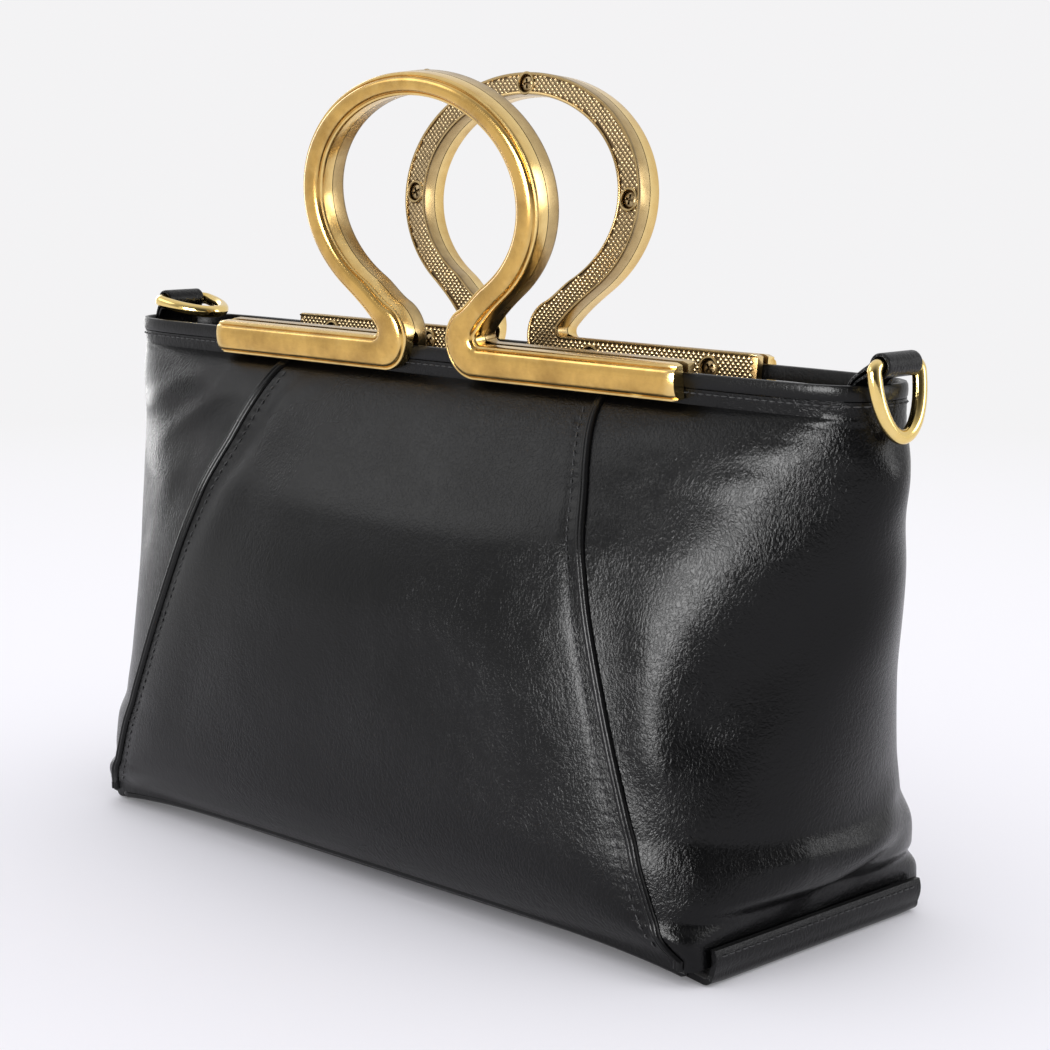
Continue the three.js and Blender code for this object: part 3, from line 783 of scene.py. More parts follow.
    def rim(self, finishes: list[Material]) -> Object:
        """Folded band round the whole rim.

        Args:
            finishes: Edge leather.

        Returns:
            The band.
        """
        form = self.form
        rings = []
        for inset, share in RIM_PROFILE:
            line, _ = self.rim_loop(form.band_foot + share * form.rim_band, -inset * form.leather)
            rings.append(line)
        shape = Shape()
        shape.sweep(np.stack(rings, 1), closed=True)
        return shape.build("rim_band_leather", finishes)

    def rim_stitches(self, finishes: list[Material]) -> Object:
        """Row of stitches under the rim band.

        Args:
            finishes: Thread, at its number.

        Returns:
            The stitches.
        """
        shape = Shape()
        line, outward = self.rim_loop(self.form.band_foot - self.rim_stitch_drop, self.stitch_lift, 140)
        line, outward = (np.vstack((rows, rows[:1])) for rows in (line, outward))
        stitch_line(shape, line, outward, self.stitch, self.rim_stitch_pitch, 1)
        return shape.build("rim_stitches", finishes)

    def base(self, finishes: list[Material]) -> Object:
        """Base panel with its long edges curled up and its ends turned up as stitched lips.

        Args:
            finishes: Leather, lining and thread.

        Returns:
            The base.
        """
        form = self.form
        half = form.base_length / 2
        bends = np.linspace(0, math.pi / 2, 9)
        bend_x = half - form.lip_bend + form.lip_bend * np.sin(bends)
        bend_z = form.lip_bend * (1 - np.cos(bends))
        lip_z = np.linspace(form.lip_bend, form.lip_height, 8)[1:]
        flat_x = np.linspace(-1, 1, 61)[1:-1] * (half - form.lip_bend)
        swell = np.sin(np.linspace(0, math.pi, len(lip_z) + 2)[1:-1])
        end_x = np.concatenate((bend_x, half + self.lip_swell * swell))
        end_z = np.concatenate((bend_z, lip_z))
        path_x = np.concatenate((-end_x[::-1], flat_x, end_x))
        path_z = np.concatenate((end_z[::-1], np.zeros(len(flat_x)), end_z))
        edge = np.linspace(0.8, 1, 12)
        shares = np.concatenate((-edge[::-1], np.linspace(-0.75, 0.75, 11), edge))
        x = np.repeat(path_x[:, None], len(shares), 1)
        width = form.base_width + (self.lip_span - form.base_width) * np.minimum(1, path_z / form.lip_bend)
        y = shares[None] * width[:, None] / 2
        curl = smoothstep(np.abs(y), form.base_width / 2 - self.edge_curl, form.base_width / 2)
        z = path_z[:, None] + curl * form.edge_rise(x)
        outer = np.stack((x, y, z), -1)
        angle = np.arcsin(np.clip((np.abs(path_x) - (half - form.lip_bend)) / form.lip_bend, 0, 1))
        outward = np.stack((np.sign(path_x) * np.sin(angle), np.zeros(len(angle)), -np.cos(angle)), -1)
        inner = outer - outward[:, None] * form.base_thickness
        shape = Shape()
        shape.sheet(outer, inner, lining=1)
        height = form.lip_height - self.lip_inset
        away = half + self.stitch_lift + self.lip_swell * float(np.interp(height, lip_z, swell))
        across = np.linspace(-self.lip_stitch_span / 2, self.lip_stitch_span / 2, 60)
        for side in Side:
            line = np.array([(side.value * away, y, height) for y in across])
            out = np.tile([side.value, 0.0, 0.0], (len(line), 1))
            stitch_line(shape, line, out, self.stitch, self.lip_stitch_pitch, 2)
        return shape.build("base_leather", finishes)

    def welt(self, face: Face, finishes: list[Material]) -> Object:
        """Round welt along the base's edge.

        Args:
            face: Which long edge.
            finishes: Edge leather.

        Returns:
            The welt.
        """
        form = self.form
        radius = form.welt / 2
        half = form.seam_foot_span / 2 + 3.0
        x = np.linspace(-half, half, 160)
        y = face.value * (form.base_width / 2 + form.clearance + radius)
        path = np.stack((x, np.full(160, y), form.edge_rise(x) + form.clearance + radius), -1)
        rings = tube_rings(path, np.array([0.0, 1.0, 0.0]), circle(radius, 14), closed=False)
        ends = np.minimum(1.0, 0.35 + 0.65 * smoothstep(half - np.abs(x), 0.0, 1.6))
        rings = path[:, None] + (rings - path[:, None]) * ends[:, None, None]
        shape = Shape()
        shape.sweep(rings)
        return shape.build(f"base_welt_cord_{face.word}", finishes)


@dataclass(frozen=True)
class Dent:
    """A soft oval dent or swell of a broad wall: its middle, half-sizes, turn and how far out it goes."""

    x: float
    z: float
    long: float
    broad: float
    turn: float
    out: float

    def push(self, x: Array, z: Array) -> Array:
        """How far the dent pushes the wall out at each place."""
        cos, sin = math.cos(math.radians(self.turn)), math.sin(math.radians(self.turn))
        across, along = x - self.x, z - self.z
        a = (across * cos + along * sin) / self.long
        b = (along * cos - across * sin) / self.broad
        return self.out * np.exp(-(a**2) - b**2)


PANEL_DENTS = [
    Dent(-69, 141, 34, 8, 64, 0.8),
    Dent(-82, 143, 32, 6, 64, -1.4),
    Dent(40, 146, 60, 12, 4, -0.8),
    Dent(-10, 96, 80, 22, 8, 0.7),
    Dent(60, 70, 44, 16, -28, -0.6),
    Dent(-84, 60, 30, 14, 62, -0.7),
]

END_CREASES = {
    Side.RIGHT: [
        Fold(0.34, 0.83, 0.22, 0.60, 0.040, 0.5),
        Fold(0.12, 0.165, 0.37, 0.165, 0.060, -2.4),
        Fold(0.72, 0.24, 0.44, 0.11, 0.045, 1.7),
        Fold(0.74, 0.15, 0.40, 0.03, 0.035, -1.4),
    ],
    Side.LEFT: [
        Fold(0.62, 0.86, 0.74, 0.70, 0.030, 1.1),
        Fold(0.70, 0.88, 0.82, 0.74, 0.024, -0.9),
        Fold(0.07, 0.93, 0.22, 0.80, 0.030, 0.9),
        Fold(0.18, 0.95, 0.36, 0.84, 0.034, 0.9),
    ],
}

# Across and out, as shares of the strip's width and height
SEAM_PROFILE = [
    *((-0.56, 0.00), (-0.52, 0.30), (-0.40, 0.62), (-0.22, 0.80), (-0.10, 0.72), (-0.05, 0.66)),
    *((0.02, 0.84), (0.16, 1.00), (0.32, 0.92), (0.44, 0.60), (0.50, 0.20), (0.50, 0.00)),
]

# Inwards and up, as shares of the leather's thickness and the band's height
RIM_PROFILE = [
    *((0.00, 0.00), (-0.10, 0.12), (-0.14, 0.45), (-0.06, 0.80), (0.16, 0.96)),
    *((0.50, 1.00), (0.84, 0.96), (1.00, 0.80), (1.00, 0.00)),
]


@dataclass
class Handle:
    """One handle: an oval ring on two bars, in an outer and an inner half."""

    form: BagForm
    name: str
    turn: float
    bar_span: float = 224.8
    ring_rise: float = 53.4
    ring_length: float = 114.8
    ring_height: float = 85.4
    band_side: float = 10.2
    band_top: float = 7.8
    neck_gap: float = 19.6
    neck_radius: float = 12.3
    crotch_radius: float = 2.2
    plate_depth: float = 4.0
    rim_line: float = 1.25
    border: float = 1.15
    border_rise: float = 0.55
    recess: float = 6.4
    boss: float = 8.2
    recess_depth: float = 2.4
    screw_head: float = 5.7
    screw_turn: Pair = (0.4, 1.9)
    inner_screws: float = 80.0
    outer_screws: float = 186.0
    knurl_pitch: float = 1.5
    knurl_rise: float = 0.42
    knurl_flat: float = 0.22
    end_bevel: float = 0.7
    crown_power: float = 0.8
    seat_step: Pair = (6.3, 6.9)
    cross: Pair = (1.75, 0.42)

    def paths(self) -> tuple[Array, Array]:
        """Matching points of the band's edges, from one bar's end over the ring to the other's.

        Returns:
            Points of the inner edge and of the outer edge, in the handle's own plane.
        """
        steps = (72, 20, 30, 44)
        degrees = math.radians
        outer = (self.ring_length / 2, self.ring_height / 2)
        inner = (outer[0] - self.band_side, outer[1] - self.band_top)
        neck = np.array([self.neck_gap / 2 + self.neck_radius, self.neck_radius - self.form.bar_width / 2])
        crotch = np.array([neck[0] + 2 * self.crotch_radius, self.form.bar_width / 2 + self.crotch_radius])

        def oval(size: Pair, angle: Array) -> Array:
            """Points of an oval about the ring's middle."""
            return np.stack((size[0] * np.cos(angle), self.ring_rise + size[1] * np.sin(angle)), -1)

        def side(size: Pair, join: float, bend: tuple, top: float, bar: float) -> Array:
            """Half of one edge, from the ring's top down to the bar's end.

            Args:
                size: The oval's half-sizes.
                join: Angle where the edge leaves the oval.
                bend: Middle, radius and first angle of the arc into the bar.
                top: Where the bar's straight edge starts.
                bar: Height of that edge.

            Returns:
                Points of the half edge.
            """
            middle, radius, start = bend
            ring = oval(size, np.linspace(math.pi / 2, join, steps[0]))
            leave = unit(ring[-1] - oval(size, np.array(join + 0.01)))
            corner = middle + arc(radius, np.linspace(start, 1.5 * math.pi, steps[2]))
            reach = unit(corner[0] - middle - arc(radius, np.array(start + 0.01)))
            pull = np.linalg.norm(ring[-1] - corner[0]) / 3
            a, b, c, d = ring[-1], ring[-1] + leave * pull, corner[0] + reach * pull, corner[0]
            t = np.linspace(0, 1, steps[1])[1:-1, None]
            join_line = a * (1 - t) ** 3 + 3 * b * t * (1 - t) ** 2 + 3 * c * t**2 * (1 - t) + d * t**3
            bar_x = np.linspace(top, self.bar_span / 2, steps[3])[1:]
            line = np.stack((bar_x, np.full(len(bar_x), bar)), -1)
            return np.concatenate((ring, join_line, corner, line))

        half = self.form.bar_width / 2
        in_side = side(inner, degrees(-53), (neck, self.neck_radius, degrees(115)), neck[0], -half)
        out_side = side(outer, degrees(-46), (crotch, self.crotch_radius, degrees(140)), crotch[0], half)
        mirror = np.array([-1.0, 1.0])
        both = [np.concatenate((edge[::-1] * mirror, edge[1:])) for edge in (in_side, out_side)]
        return both[0], both[1]

    def world(self, points: Array) -> Array:
        """Points of the handle's own plane in the bag's frame.

        Args:
            points: Along the bar, up, and outwards.

        Returns:
            Points in millimetres.
        """
        form = self.form
        lean = form.lean
        x, up, out = points[..., 0], points[..., 1], points[..., 2]
        y = -(form.rim_width - form.leather) / 2 - up * math.sin(lean) - out * math.cos(lean)
        z = form.bar_height + up * math.cos(lean) - out * math.sin(lean)
        cos, sin = round(math.cos(self.turn)), round(math.sin(self.turn))
        middle = -form.rim_forward * form.bar_height / form.rim_height
        return np.stack((x * cos - y * sin, x * sin + y * cos + middle, z), -1)

    def seat(self, up: Array) -> Array:
        """Depth of a half's back: at the leather on the bars, at the other half on the ring."""
        form = self.form
        leather = form.leather / 2 + form.clearance
        return leather + (form.clearance / 2 - leather) * smoothstep(up, *self.seat_step)

    def loft(self, profile: list[Pair], crown: bool, depth: float, out: float) -> Array:
        """Closed sections of one half along its band.

        Args:
            profile: Inset from the edge and share of the depth, from the back edge up to the face.
            crown: Whether the face is round between its rim lines.
            depth: Depth of the half from its seat on the leather.
            out: 1 for the outer half, -1 for the inner one.

        Returns:
            Array of sections, points and 3, in the handle's own plane.
        """
        low, high = self.paths()
        width = np.linalg.norm(high - low, axis=1)
        across = (high - low) / width[:, None]
        bevel = np.zeros(len(low))
        bevel[[0, -1]] = self.end_bevel
        base = self.form.leather / 2 + self.form.clearance
        spots = [(inset + 0 * width, share) for inset, share in profile]
        if crown:
            edge, level = profile[-1]
            for angle in np.linspace(0, math.pi, 15)[1:-1]:
                inset = edge + (width / 2 - edge) * (1 - math.cos(angle))
                spots.append((inset, level + (1 - level) * math.sin(angle) ** self.crown_power))
        spots += [(width - inset, share) for inset, share in reversed(profile)]
        rows = []
        for inset, share in spots:
            place = low + across * np.clip(inset, bevel, width - bevel)[:, None]
            rise = base + share * depth - bevel * (share * depth > 0.5)
            rows.append(np.column_stack((place, out * rise)))
        for share in np.linspace(1, 0, 9):
            place = low + across * (bevel + share * (width - 2 * bevel))[:, None]
            rows.append(np.column_stack((place, out * self.seat(place[:, 1]))))
        return np.stack(rows, 1)

    def shell(self, brass: Material) -> Object:
        """Outer half, with a flat rim line and a round face."""
        profile = [(0.0, 0.50), (0.10, 0.60), (0.35, 0.66), (1.0, 0.69), (self.rim_line, 0.66), (1.5, 0.70)]
        shape = Shape()
        shape.sweep(self.world(self.loft(profile, True, self.form.shell_depth, 1.0)))
        return shape.build(f"handle_{self.name}_outer_half", [brass])

    def screw_places(self) -> list[Pair]:
        """Places of the screws in the handle's own plane."""
        side = (self.ring_length - self.band_side) / 2
        top = self.ring_rise + (self.ring_height - self.band_top) / 2
        near, far = self.inner_screws / 2, self.outer_screws / 2
        left = [(-far, 0), (-near, 0), (-side, self.ring_rise)]
        return [*left, (0, top), (side, self.ring_rise), (near, 0), (far, 0)]

    @property
    def face_depth(self) -> float:
        """Depth of the inner half's highest face."""
        return self.form.leather / 2 + self.form.clearance + self.plate_depth

    def plate(self, finishes: list[Material]) -> Object:
        """Inner half: a raised border round a knurled floor, with bosses round its screw recesses.

        Args:
            finishes: Border brass and knurl brass.

        Returns:
            The inner half.
        """
        depth = self.plate_depth
        floor = (depth - self.border_rise) / depth
        profile = [(0.0, 0.80), (0.10, 0.93), (0.30, 1.0), (self.border - 0.2, 1.0), (self.border, 0.97)]
        profile += [(self.border + 0.12, floor)]
        body = Shape()
        body.sweep(self.loft(profile, False, depth, -1.0))
        piece = body.build(f"handle_{self.name}_inner_half", finishes)
        self.cut_recesses(piece)
        cut = piece.data
        shape = Shape()
        points = np.empty(len(cut.vertices) * 3)
        cut.vertices.foreach_get("co", points)
        points = points.reshape(-1, 3) / MM
        low = -(self.face_depth - self.border_rise)
        for finish in (0, 1):
            chosen = [f for f in cut.polygons if (abs(f.center.z / MM - low) < 0.1) == bool(finish)]
            shape.add(self.world(points), [tuple(face.vertices) for face in chosen], finish)
        bpy.data.objects.remove(piece)
        self.add_bosses(shape)
        self.add_knurl(shape)
        return shape.build(f"handle_{self.name}_inner_half", finishes)

    def cut_recesses(self, piece: Object) -> None:
        """Cuts the screw recesses into the inner half while it lies in its own plane."""
        work = bmesh.new()
        radius = self.recess / 2 * MM
        deep, high = self.recess_depth - self.face_depth, -self.face_depth - 1.0
        for x, up in self.screw_places():
            where = Matrix.Translation(Vector((x, up, (deep + high) / 2)) * MM)
            bmesh.ops.create_cone(
                work,
                cap_ends=True,
                segments=32,
                radius1=radius,
                radius2=radius,
                depth=(deep - high) * MM,
                matrix=where,
            )
        mesh = bpy.data.meshes.new("recess_cutter")
        work.to_mesh(mesh)
        work.free()
        cutter = bpy.data.objects.new("recess_cutter", mesh)
        bpy.context.scene.collection.objects.link(cutter)
        change = piece.modifiers.new("recesses", "BOOLEAN")
        change.operation = "DIFFERENCE"
        change.object = cutter
        change.solver = "EXACT"
        done = bpy.data.meshes.new_from_object(piece.evaluated_get(bpy.context.evaluated_depsgraph_get()))
        piece.modifiers.clear()
        piece.data = done
        bpy.data.objects.remove(cutter)

    def add_bosses(self, shape: Shape) -> None:
        """Adds a raised rim round each screw recess."""
        low = -(self.face_depth - self.border_rise - 0.05)
        profile = [(self.recess / 2, low), (self.recess / 2, low - 0.5), (self.recess / 2 + 0.2, low - 0.68)]
        profile += [(self.boss / 2 - 0.25, low - 0.66), (self.boss / 2, low - 0.4), (self.boss / 2, low)]
        turns = np.linspace(0, 2 * math.pi, 36, endpoint=False)
        for x, up in self.screw_places():
            rings = [[(x + r * math.cos(t), up + r * math.sin(t), h) for r, h in profile] for t in turns]
            shape.sweep(self.world(np.array(rings)), closed=True)

    def add_knurl(self, shape: Shape) -> None:
        """Adds the diamond knurl as small pyramids between the borders."""
        low, high = self.paths()
        width = np.linalg.norm(high - low, axis=1)[:, None]
        keep = self.border + 0.15
        inner = low + (high - low) / width * keep
        outer = high - (high - low) / width * keep
        outline = np.concatenate((inner, outer[::-1]))
        count = int(self.ring_length / self.knurl_pitch) + 90
        a, b = np.meshgrid(np.arange(-count, count), np.arange(-count, count))
        x = ((a + b) * self.knurl_pitch / math.sqrt(2)).ravel()
        up = ((a - b) * self.knurl_pitch / math.sqrt(2)).ravel() + 20.0
        top = self.ring_rise + self.ring_height / 2
        near = (np.abs(x) < self.bar_span / 2 - keep) & (up > -self.form.bar_width / 2) & (up < top)
        x, up = x[near], up[near]
        inside = np.zeros(len(x), bool)
        for (x0, y0), (x1, y1) in zip(outline, np.roll(outline, -1, 0)):
            crosses = (y0 > up) != (y1 > up)
            rise = y1 - y0 if y1 != y0 else 1.0
            inside ^= crosses & (x < (x1 - x0) * (up - y0) / rise + x0)
        for sx, sy in self.screw_places():
            inside &= np.hypot(x - sx, up - sy) > self.boss / 2 - 0.1
        floor = -(self.face_depth - self.border_rise - 0.08)
        reach = self.knurl_pitch / math.sqrt(2) * 0.98
        corners = []
        for size, high in ((reach, 0), (reach * self.knurl_flat, 1)):
            corners += [(size, 0, high), (0, size, high), (-size, 0, high), (0, -size, high)]
        faces = [(0, 1, 5, 4), (1, 2, 6, 5), (2, 3, 7, 6), (3, 0, 4, 7), (4, 5, 6, 7), (3, 2, 1, 0)]
        for px, pup in zip(x[inside], up[inside]):
            points = np.array([(px + cx, pup + cy, floor - h * self.knurl_rise) for cx, cy, h in corners])
            shape.add(self.world(points), faces, 1)

    def screw(self, number: int, metal: Material) -> Object:
        """Domed screw head with a cross recess.

        Args:
            number: Its number along the handle, from 1.
            metal: Its finish.

        Returns:
            The screw.
        """
        place = self.screw_places()[number - 1]
        turn = self.screw_turn[0] + self.screw_turn[1] * number + self.turn
        radius = self.screw_head / 2
        floor = -(self.face_depth - self.recess_depth + self.form.clearance)
        arm, wide = self.cross
        corners = []
        for k in range(4):
            sin, cos = math.sin(turn + k * math.pi / 2), math.cos(turn + k * math.pi / 2)
            for across, along in ((wide, wide), (wide, arm), (-wide, arm)):
                corners.append((along * sin + across * cos, along * cos - across * sin))
        steps = 48
        angles = np.linspace(0, 2 * math.pi, steps, endpoint=False)
        ring = np.array(corners)
        ring = ring[np.argsort(np.arctan2(ring[:, 1], ring[:, 0]))]
        corner_angle = np.unwrap(np.arctan2(ring[:, 1], ring[:, 0]))
        loop = np.vstack((ring, ring[:1]))
        loop_angle = np.append(corner_angle, corner_angle[0] + 2 * math.pi)
        at = (angles - corner_angle[0]) % (2 * math.pi) + corner_angle[0]
        inner = read_rows(at, loop_angle, loop)
        outer = arc(radius, angles)
        levels = [(outer * share, high) for share, high in ((1, 0.0), (1, 0.75), (0.93, 1.05), (0.80, 1.25))]
        levels += [(inner * share, high) for share, high in ((1.04, 1.38), (1, 1.34), (0.82, 0.55))]
        rings = [np.column_stack((points + place, np.full(steps, floor - high))) for points, high in levels]
        shape = Shape()
        shape.sweep(self.world(np.array(rings)))
        return shape.build(f"screw_head_{self.name}_{number}", [metal], 30.0)


@dataclass
class StrapLoop:
    """A leather tab at one end of the rim and the D-ring in its loop."""

    form: BagForm
    side: Side
    loop_x: float
    middle_y: float
    slant: float
    width: float = 16.6
    thickness: float = 1.3
    sewn: float = 14.0
    loop_height: float = 189.3
    wire: float = 4.5
    span: float = 26.7
    drop: float = 26.1
    corner: float = 2.6
    stitch: Pair = (2.3, 0.6)
    stitch_pitch: float = 3.0
    stitch_inset: float = 1.8

    @property
    def middle(self) -> Array:
        """Middle of the D-ring's straight bar."""
        return np.array([self.loop_x, self.middle_y, self.loop_height])

    def strip(self) -> Array:
        """Middle line of the folded strip, from its foot over the D-ring's bar and back down."""
        form = self.form
        half_length, half_width, squareness, across, middle = (float(v) for v in form.section(form.pinch))
        edge = (abs(self.middle_y - middle) + self.width / 2) / (half_width - form.leather)
        end = half_length * (1 - edge**across) ** (1 / squareness)
        stem = self.side.value * (end - form.leather - 2 * form.clearance - self.thickness)
        knee = np.array([stem, form.rim_height + self.thickness])
        foot = np.array([stem, form.rim_height - self.sewn])
        loop = np.array([self.loop_x, self.loop_height])
        radius = self.wire / 2 + form.clearance + self.thickness / 2
        away = math.atan2(*(knee - loop)[::-1])
        open_angle = math.asin(self.thickness / 2 / radius) * 1.15
        turn = np.linspace(away - open_angle, away + open_angle - 2 * math.pi, 40)
        bow = loop + arc(radius, turn)
        aside = np.array([-1.0, 0.0]) * self.thickness / 2
        way = unit(loop - knee)
        left = np.array([-way[1], way[0]]) * self.thickness / 2
        corner = (aside + left) / (1 + float(unit(aside) @ unit(left)))
        points = [foot + aside]
        points += [foot + aside + (knee + corner - foot - aside) * t for t in np.linspace(0.25, 0.8, 4)]
        points += [knee + corner, *bow, knee - corner]
        points += [foot - aside + (knee - corner - foot + aside) * t for t in np.linspace(0.8, 0.25, 4)]
        points += [foot - aside]
        line = np.array(points)
        for _ in range(2):
            smooth = line.copy()
            smooth[1:-1] = line[1:-1] * 0.5 + (line[:-2] + line[2:]) * 0.25
            line = smooth
        return line

    def tab(self, finishes: list[Material]) -> Object:
        """Leather strip folded over the D-ring's bar and sewn to itself.

        Args:
            finishes: Leather and thread.

        Returns:
            The tab.
        """
        line = self.strip()
        ahead = unit(np.gradient(line, axis=0))
        normal = np.stack((-ahead[:, 1], ahead[:, 0]), 1)
        half, thick = self.width / 2, self.thickness / 2 * 0.96
        section = [(-half, -0.55), (-half + 0.35, -0.95), (-half + 1.0, -1.0)]
        section += [(y, -1.0) for y in np.linspace(-half + 2.2, half - 2.2, 7)]
        section += [(half - 1.0, -1.0), (half - 0.35, -0.95), (half, -0.55)]
        section += [(y, -out) for y, out in reversed(section)]
        rings = []
        for (x, z), (nx, nz) in zip(line, normal * thick):
            rings.append([(x + nx * out, self.middle_y + y, z + nz * out) for y, out in section])
        shape = Shape()
        shape.sweep(np.array(rings))
        way = np.insert(normal[2:6], 1, 0.0, axis=1)
        for across in (self.stitch_inset - half, half - self.stitch_inset):
            path = np.insert(line[2:6], 1, self.middle_y + across, axis=1)
            stitch_line(shape, path + way * thick, way, self.stitch, self.stitch_pitch, 1)
        return shape.build(f"strap_tab_leather_{self.side.word}", finishes)

    def ring(self, gold: Material) -> Object:
        """The D-ring, bent from round wire."""
        half = (self.span - self.wire) / 2
        low = self.drop - self.wire - self.corner
        straight = np.linspace(-(half - self.corner), half - self.corner, 24)
        turn = np.linspace(-math.pi / 2, 0, 10)[1:-1]
        bow = np.linspace(0, math.pi, 80)
        right = np.stack((half - self.corner * (1 - np.cos(turn)), self.corner * (1 + np.sin(turn))), 1)
        left = right[::-1] * np.array([-1.0, 1.0])
        bar = np.stack((straight, 0 * straight), 1)
        path = np.concatenate(
            (bar, right, np.stack((half * np.cos(bow), self.corner + low * np.sin(bow)), 1), left)
        )
        angle = math.radians(self.slant)
        hang = np.array([math.sin(angle), 0.0, -math.cos(angle)])
        along = np.array([0.0, 1.0, 0.0])
        points = self.middle + path[:, :1] * along + path[:, 1:] * hang
        rings = tube_rings(points, np.cross(hang, along), circle(self.wire / 2, 20), closed=True)
        shape = Shape()
        shape.sweep(rings, closed=True)
        return shape.build(f"d_ring_wire_{self.side.word}", [gold])


class Nodes:
    """Short way to lay out a node tree."""

    def __init__(self, tree: NodeTree) -> None:
        """Empties the tree and keeps it."""
        self.tree = tree
        tree.nodes.clear()

    def feed(self, socket: NodeSocket, value: object) -> None:
        """Links another socket to this one, or sets its value."""
        if isinstance(value, NodeSocket):
            self.tree.links.new(value, socket)
        else:
            socket.default_value = value

    def set(self, node: Node, **values: object) -> Node:
        """Sets a node's properties, and its sockets by name with spaces as underscores.

        Args:
            node: The node.
            **values: Numbers, colours, words or sockets.

        Returns:
            The same node.
        """
        for name, value in values.items():
            if hasattr(node, name):
                setattr(node, name, value)
            else:
                self.feed(node.inputs[name.replace("_", " ")], value)
        return node

    def add(self, kind: str, **values: object) -> Node:
        """Adds a node of a type, named without its prefix, and sets it."""
        return self.set(self.tree.nodes.new("ShaderNode" + kind), **values)

    def row(self, kind: str, *values: object, **settings: object) -> NodeSocket:
        """Adds a node and feeds its inputs in order.

        Args:
            kind: The node's type, without its prefix.
            *values: Socket or value of each input.
            **settings: The node's properties.

        Returns:
            Its first output.
        """
        node = self.add(kind, **settings)
        for socket, value in zip(node.inputs, values):
            self.feed(socket, value)
        return node.outputs[0]

    def maths(self, operation: str, first: object, second: object = 0.0, clamp: bool = False) -> NodeSocket:
        """Adds a Math node.

        Args:
            operation: Its operation.
            first: Socket or number.
            second: Socket or number.
            clamp: Whether the result stays from 0 to 1.

        Returns:
            Its value.
        """
        return self.row("Math", first, second, operation=operation, use_clamp=clamp)

    def bump(self, strength: float, distance: float, height: NodeSocket) -> NodeSocket:
        """Normal of a surface that a height map raises, with its distance in metres."""
        return self.add("Bump", Strength=strength, Distance=distance, Height=height).outputs[0]

    def span(
        self, value: object, low: object, high: object, to_low: float = 0.0, to_high: float = 1.0
    ) -> NodeSocket:
        """Maps one range of a value to another, held at its ends.

        Args:
            value: Socket to map.
            low: Value that becomes to_low.
            high: Value that becomes to_high.
            to_low: Number or socket.
            to_high: Number or socket.

        Returns:
            The mapped value.
        """
        return self.row("MapRange", value, low, high, to_low, to_high)

    def blend(self, share: object, first: object, second: object) -> NodeSocket:
        """Mixes two colours.

        Args:
            share: Socket or number from 0 to 1.
            first: Colour or socket at 0.
            second: Colour or socket at 1.

        Returns:
            The mixed colour.
        """
        node = self.add("Mix", data_type="RGBA")
        self.feed(node.inputs[0], share)
        for index, value in ((6, first), (7, second)):
            self.feed(node.inputs[index], (*value, 1.0) if isinstance(value, tuple) else value)
        return node.outputs[2]


def group(name: str, inputs: dict[str, float], outputs: tuple[str, ...]) -> tuple[Nodes, Node, Node]:
    """Starts a shader node group with named number sockets.

    Args:
        name: The group's name.
        inputs: Its inputs with their defaults.
        outputs: Its outputs.

    Returns:
        Its layout, its input node and its output node.
    """
    tree = bpy.data.node_groups.new(name, "ShaderNodeTree")
    for word, value in inputs.items():
        socket = tree.interface.new_socket(word, in_out="INPUT", socket_type="NodeSocketFloat")
        socket.default_value = value
    for word in outputs:
        tree.interface.new_socket(word, in_out="OUTPUT", socket_type="NodeSocketFloat")
    nodes = Nodes(tree)
    return nodes, tree.nodes.new("NodeGroupInput"), tree.nodes.new("NodeGroupOutput")


# How far the leather's grain wanders, in metres, and the way that its wrinkles run
GRAIN_DRIFT = 0.010
GRAIN_TURN = (0.0, 0.75, 0.1)


def leather_grain() -> NodeTree:
    """Grain of coated leather: fine wavy wrinkles that run one way, small pebbles and a few soft creases."""
    nodes, given, made = group(
        "leather_grain", {"Wrinkle": 1150.0, "Pebble": 1700.0, "Creases": 0.3}, ("Tone", "Gloss", "Height")
    )
    given = given.outputs
    place = nodes.add("TexCoord").outputs["Object"]
    drift = nodes.add("TexNoise", Vector=place, Scale=45.0, Detail=2.0).outputs["Color"]
    bent = nodes.row("VectorMath", drift, (GRAIN_DRIFT,) * 3, place, operation="MULTIPLY_ADD")
    turned = nodes.add("Mapping", Vector=bent, Rotation=GRAIN_TURN, Scale=(1.0, 1.0, 0.6))
    wrinkle = nodes.add("TexNoise", Vector=turned.outputs[0], Detail=2.5, Roughness=0.55, Distortion=0.5)
    nodes.set(wrinkle, Scale=given["Wrinkle"])
    ridge = nodes.span(wrinkle.outputs["Fac"], 0.36, 0.60)
    pebble = nodes.add("TexVoronoi", Vector=bent, Scale=given["Pebble"], feature="F1")
    long = nodes.add("Mapping", Vector=bent, Rotation=GRAIN_TURN, Scale=(1.0, 1.0, 0.4))
    crease = nodes.add("TexVoronoi", Vector=long.outputs[0], feature="DISTANCE_TO_EDGE", Scale=150.0)
    vein = nodes.span(crease.outputs["Distance"], 0.0, 0.10, 1.0, 0.0)
    patch = nodes.add("TexNoise", Vector=place, Scale=13.0, Detail=3.0).outputs["Fac"]
    where = nodes.span(patch, 0.38, 0.62, 0.35, 1.0)
    cut = nodes.maths("MULTIPLY", nodes.maths("MULTIPLY", vein, where), given["Creases"])
    fine = nodes.maths("MULTIPLY", pebble.outputs["Distance"], -0.25)
    broad = nodes.maths("MULTIPLY", ridge, nodes.maths("MULTIPLY", where, 0.62))
    height = nodes.maths("SUBTRACT", nodes.maths("ADD", fine, broad), cut)
    cloud = nodes.add("TexNoise", Vector=place, Scale=26.0, Detail=4.0).outputs["Fac"]
    nodes.set(made, Tone=nodes.span(cloud, 0.3, 0.7), Gloss=nodes.span(patch, 0.3, 0.7), Height=height)
    return nodes.tree


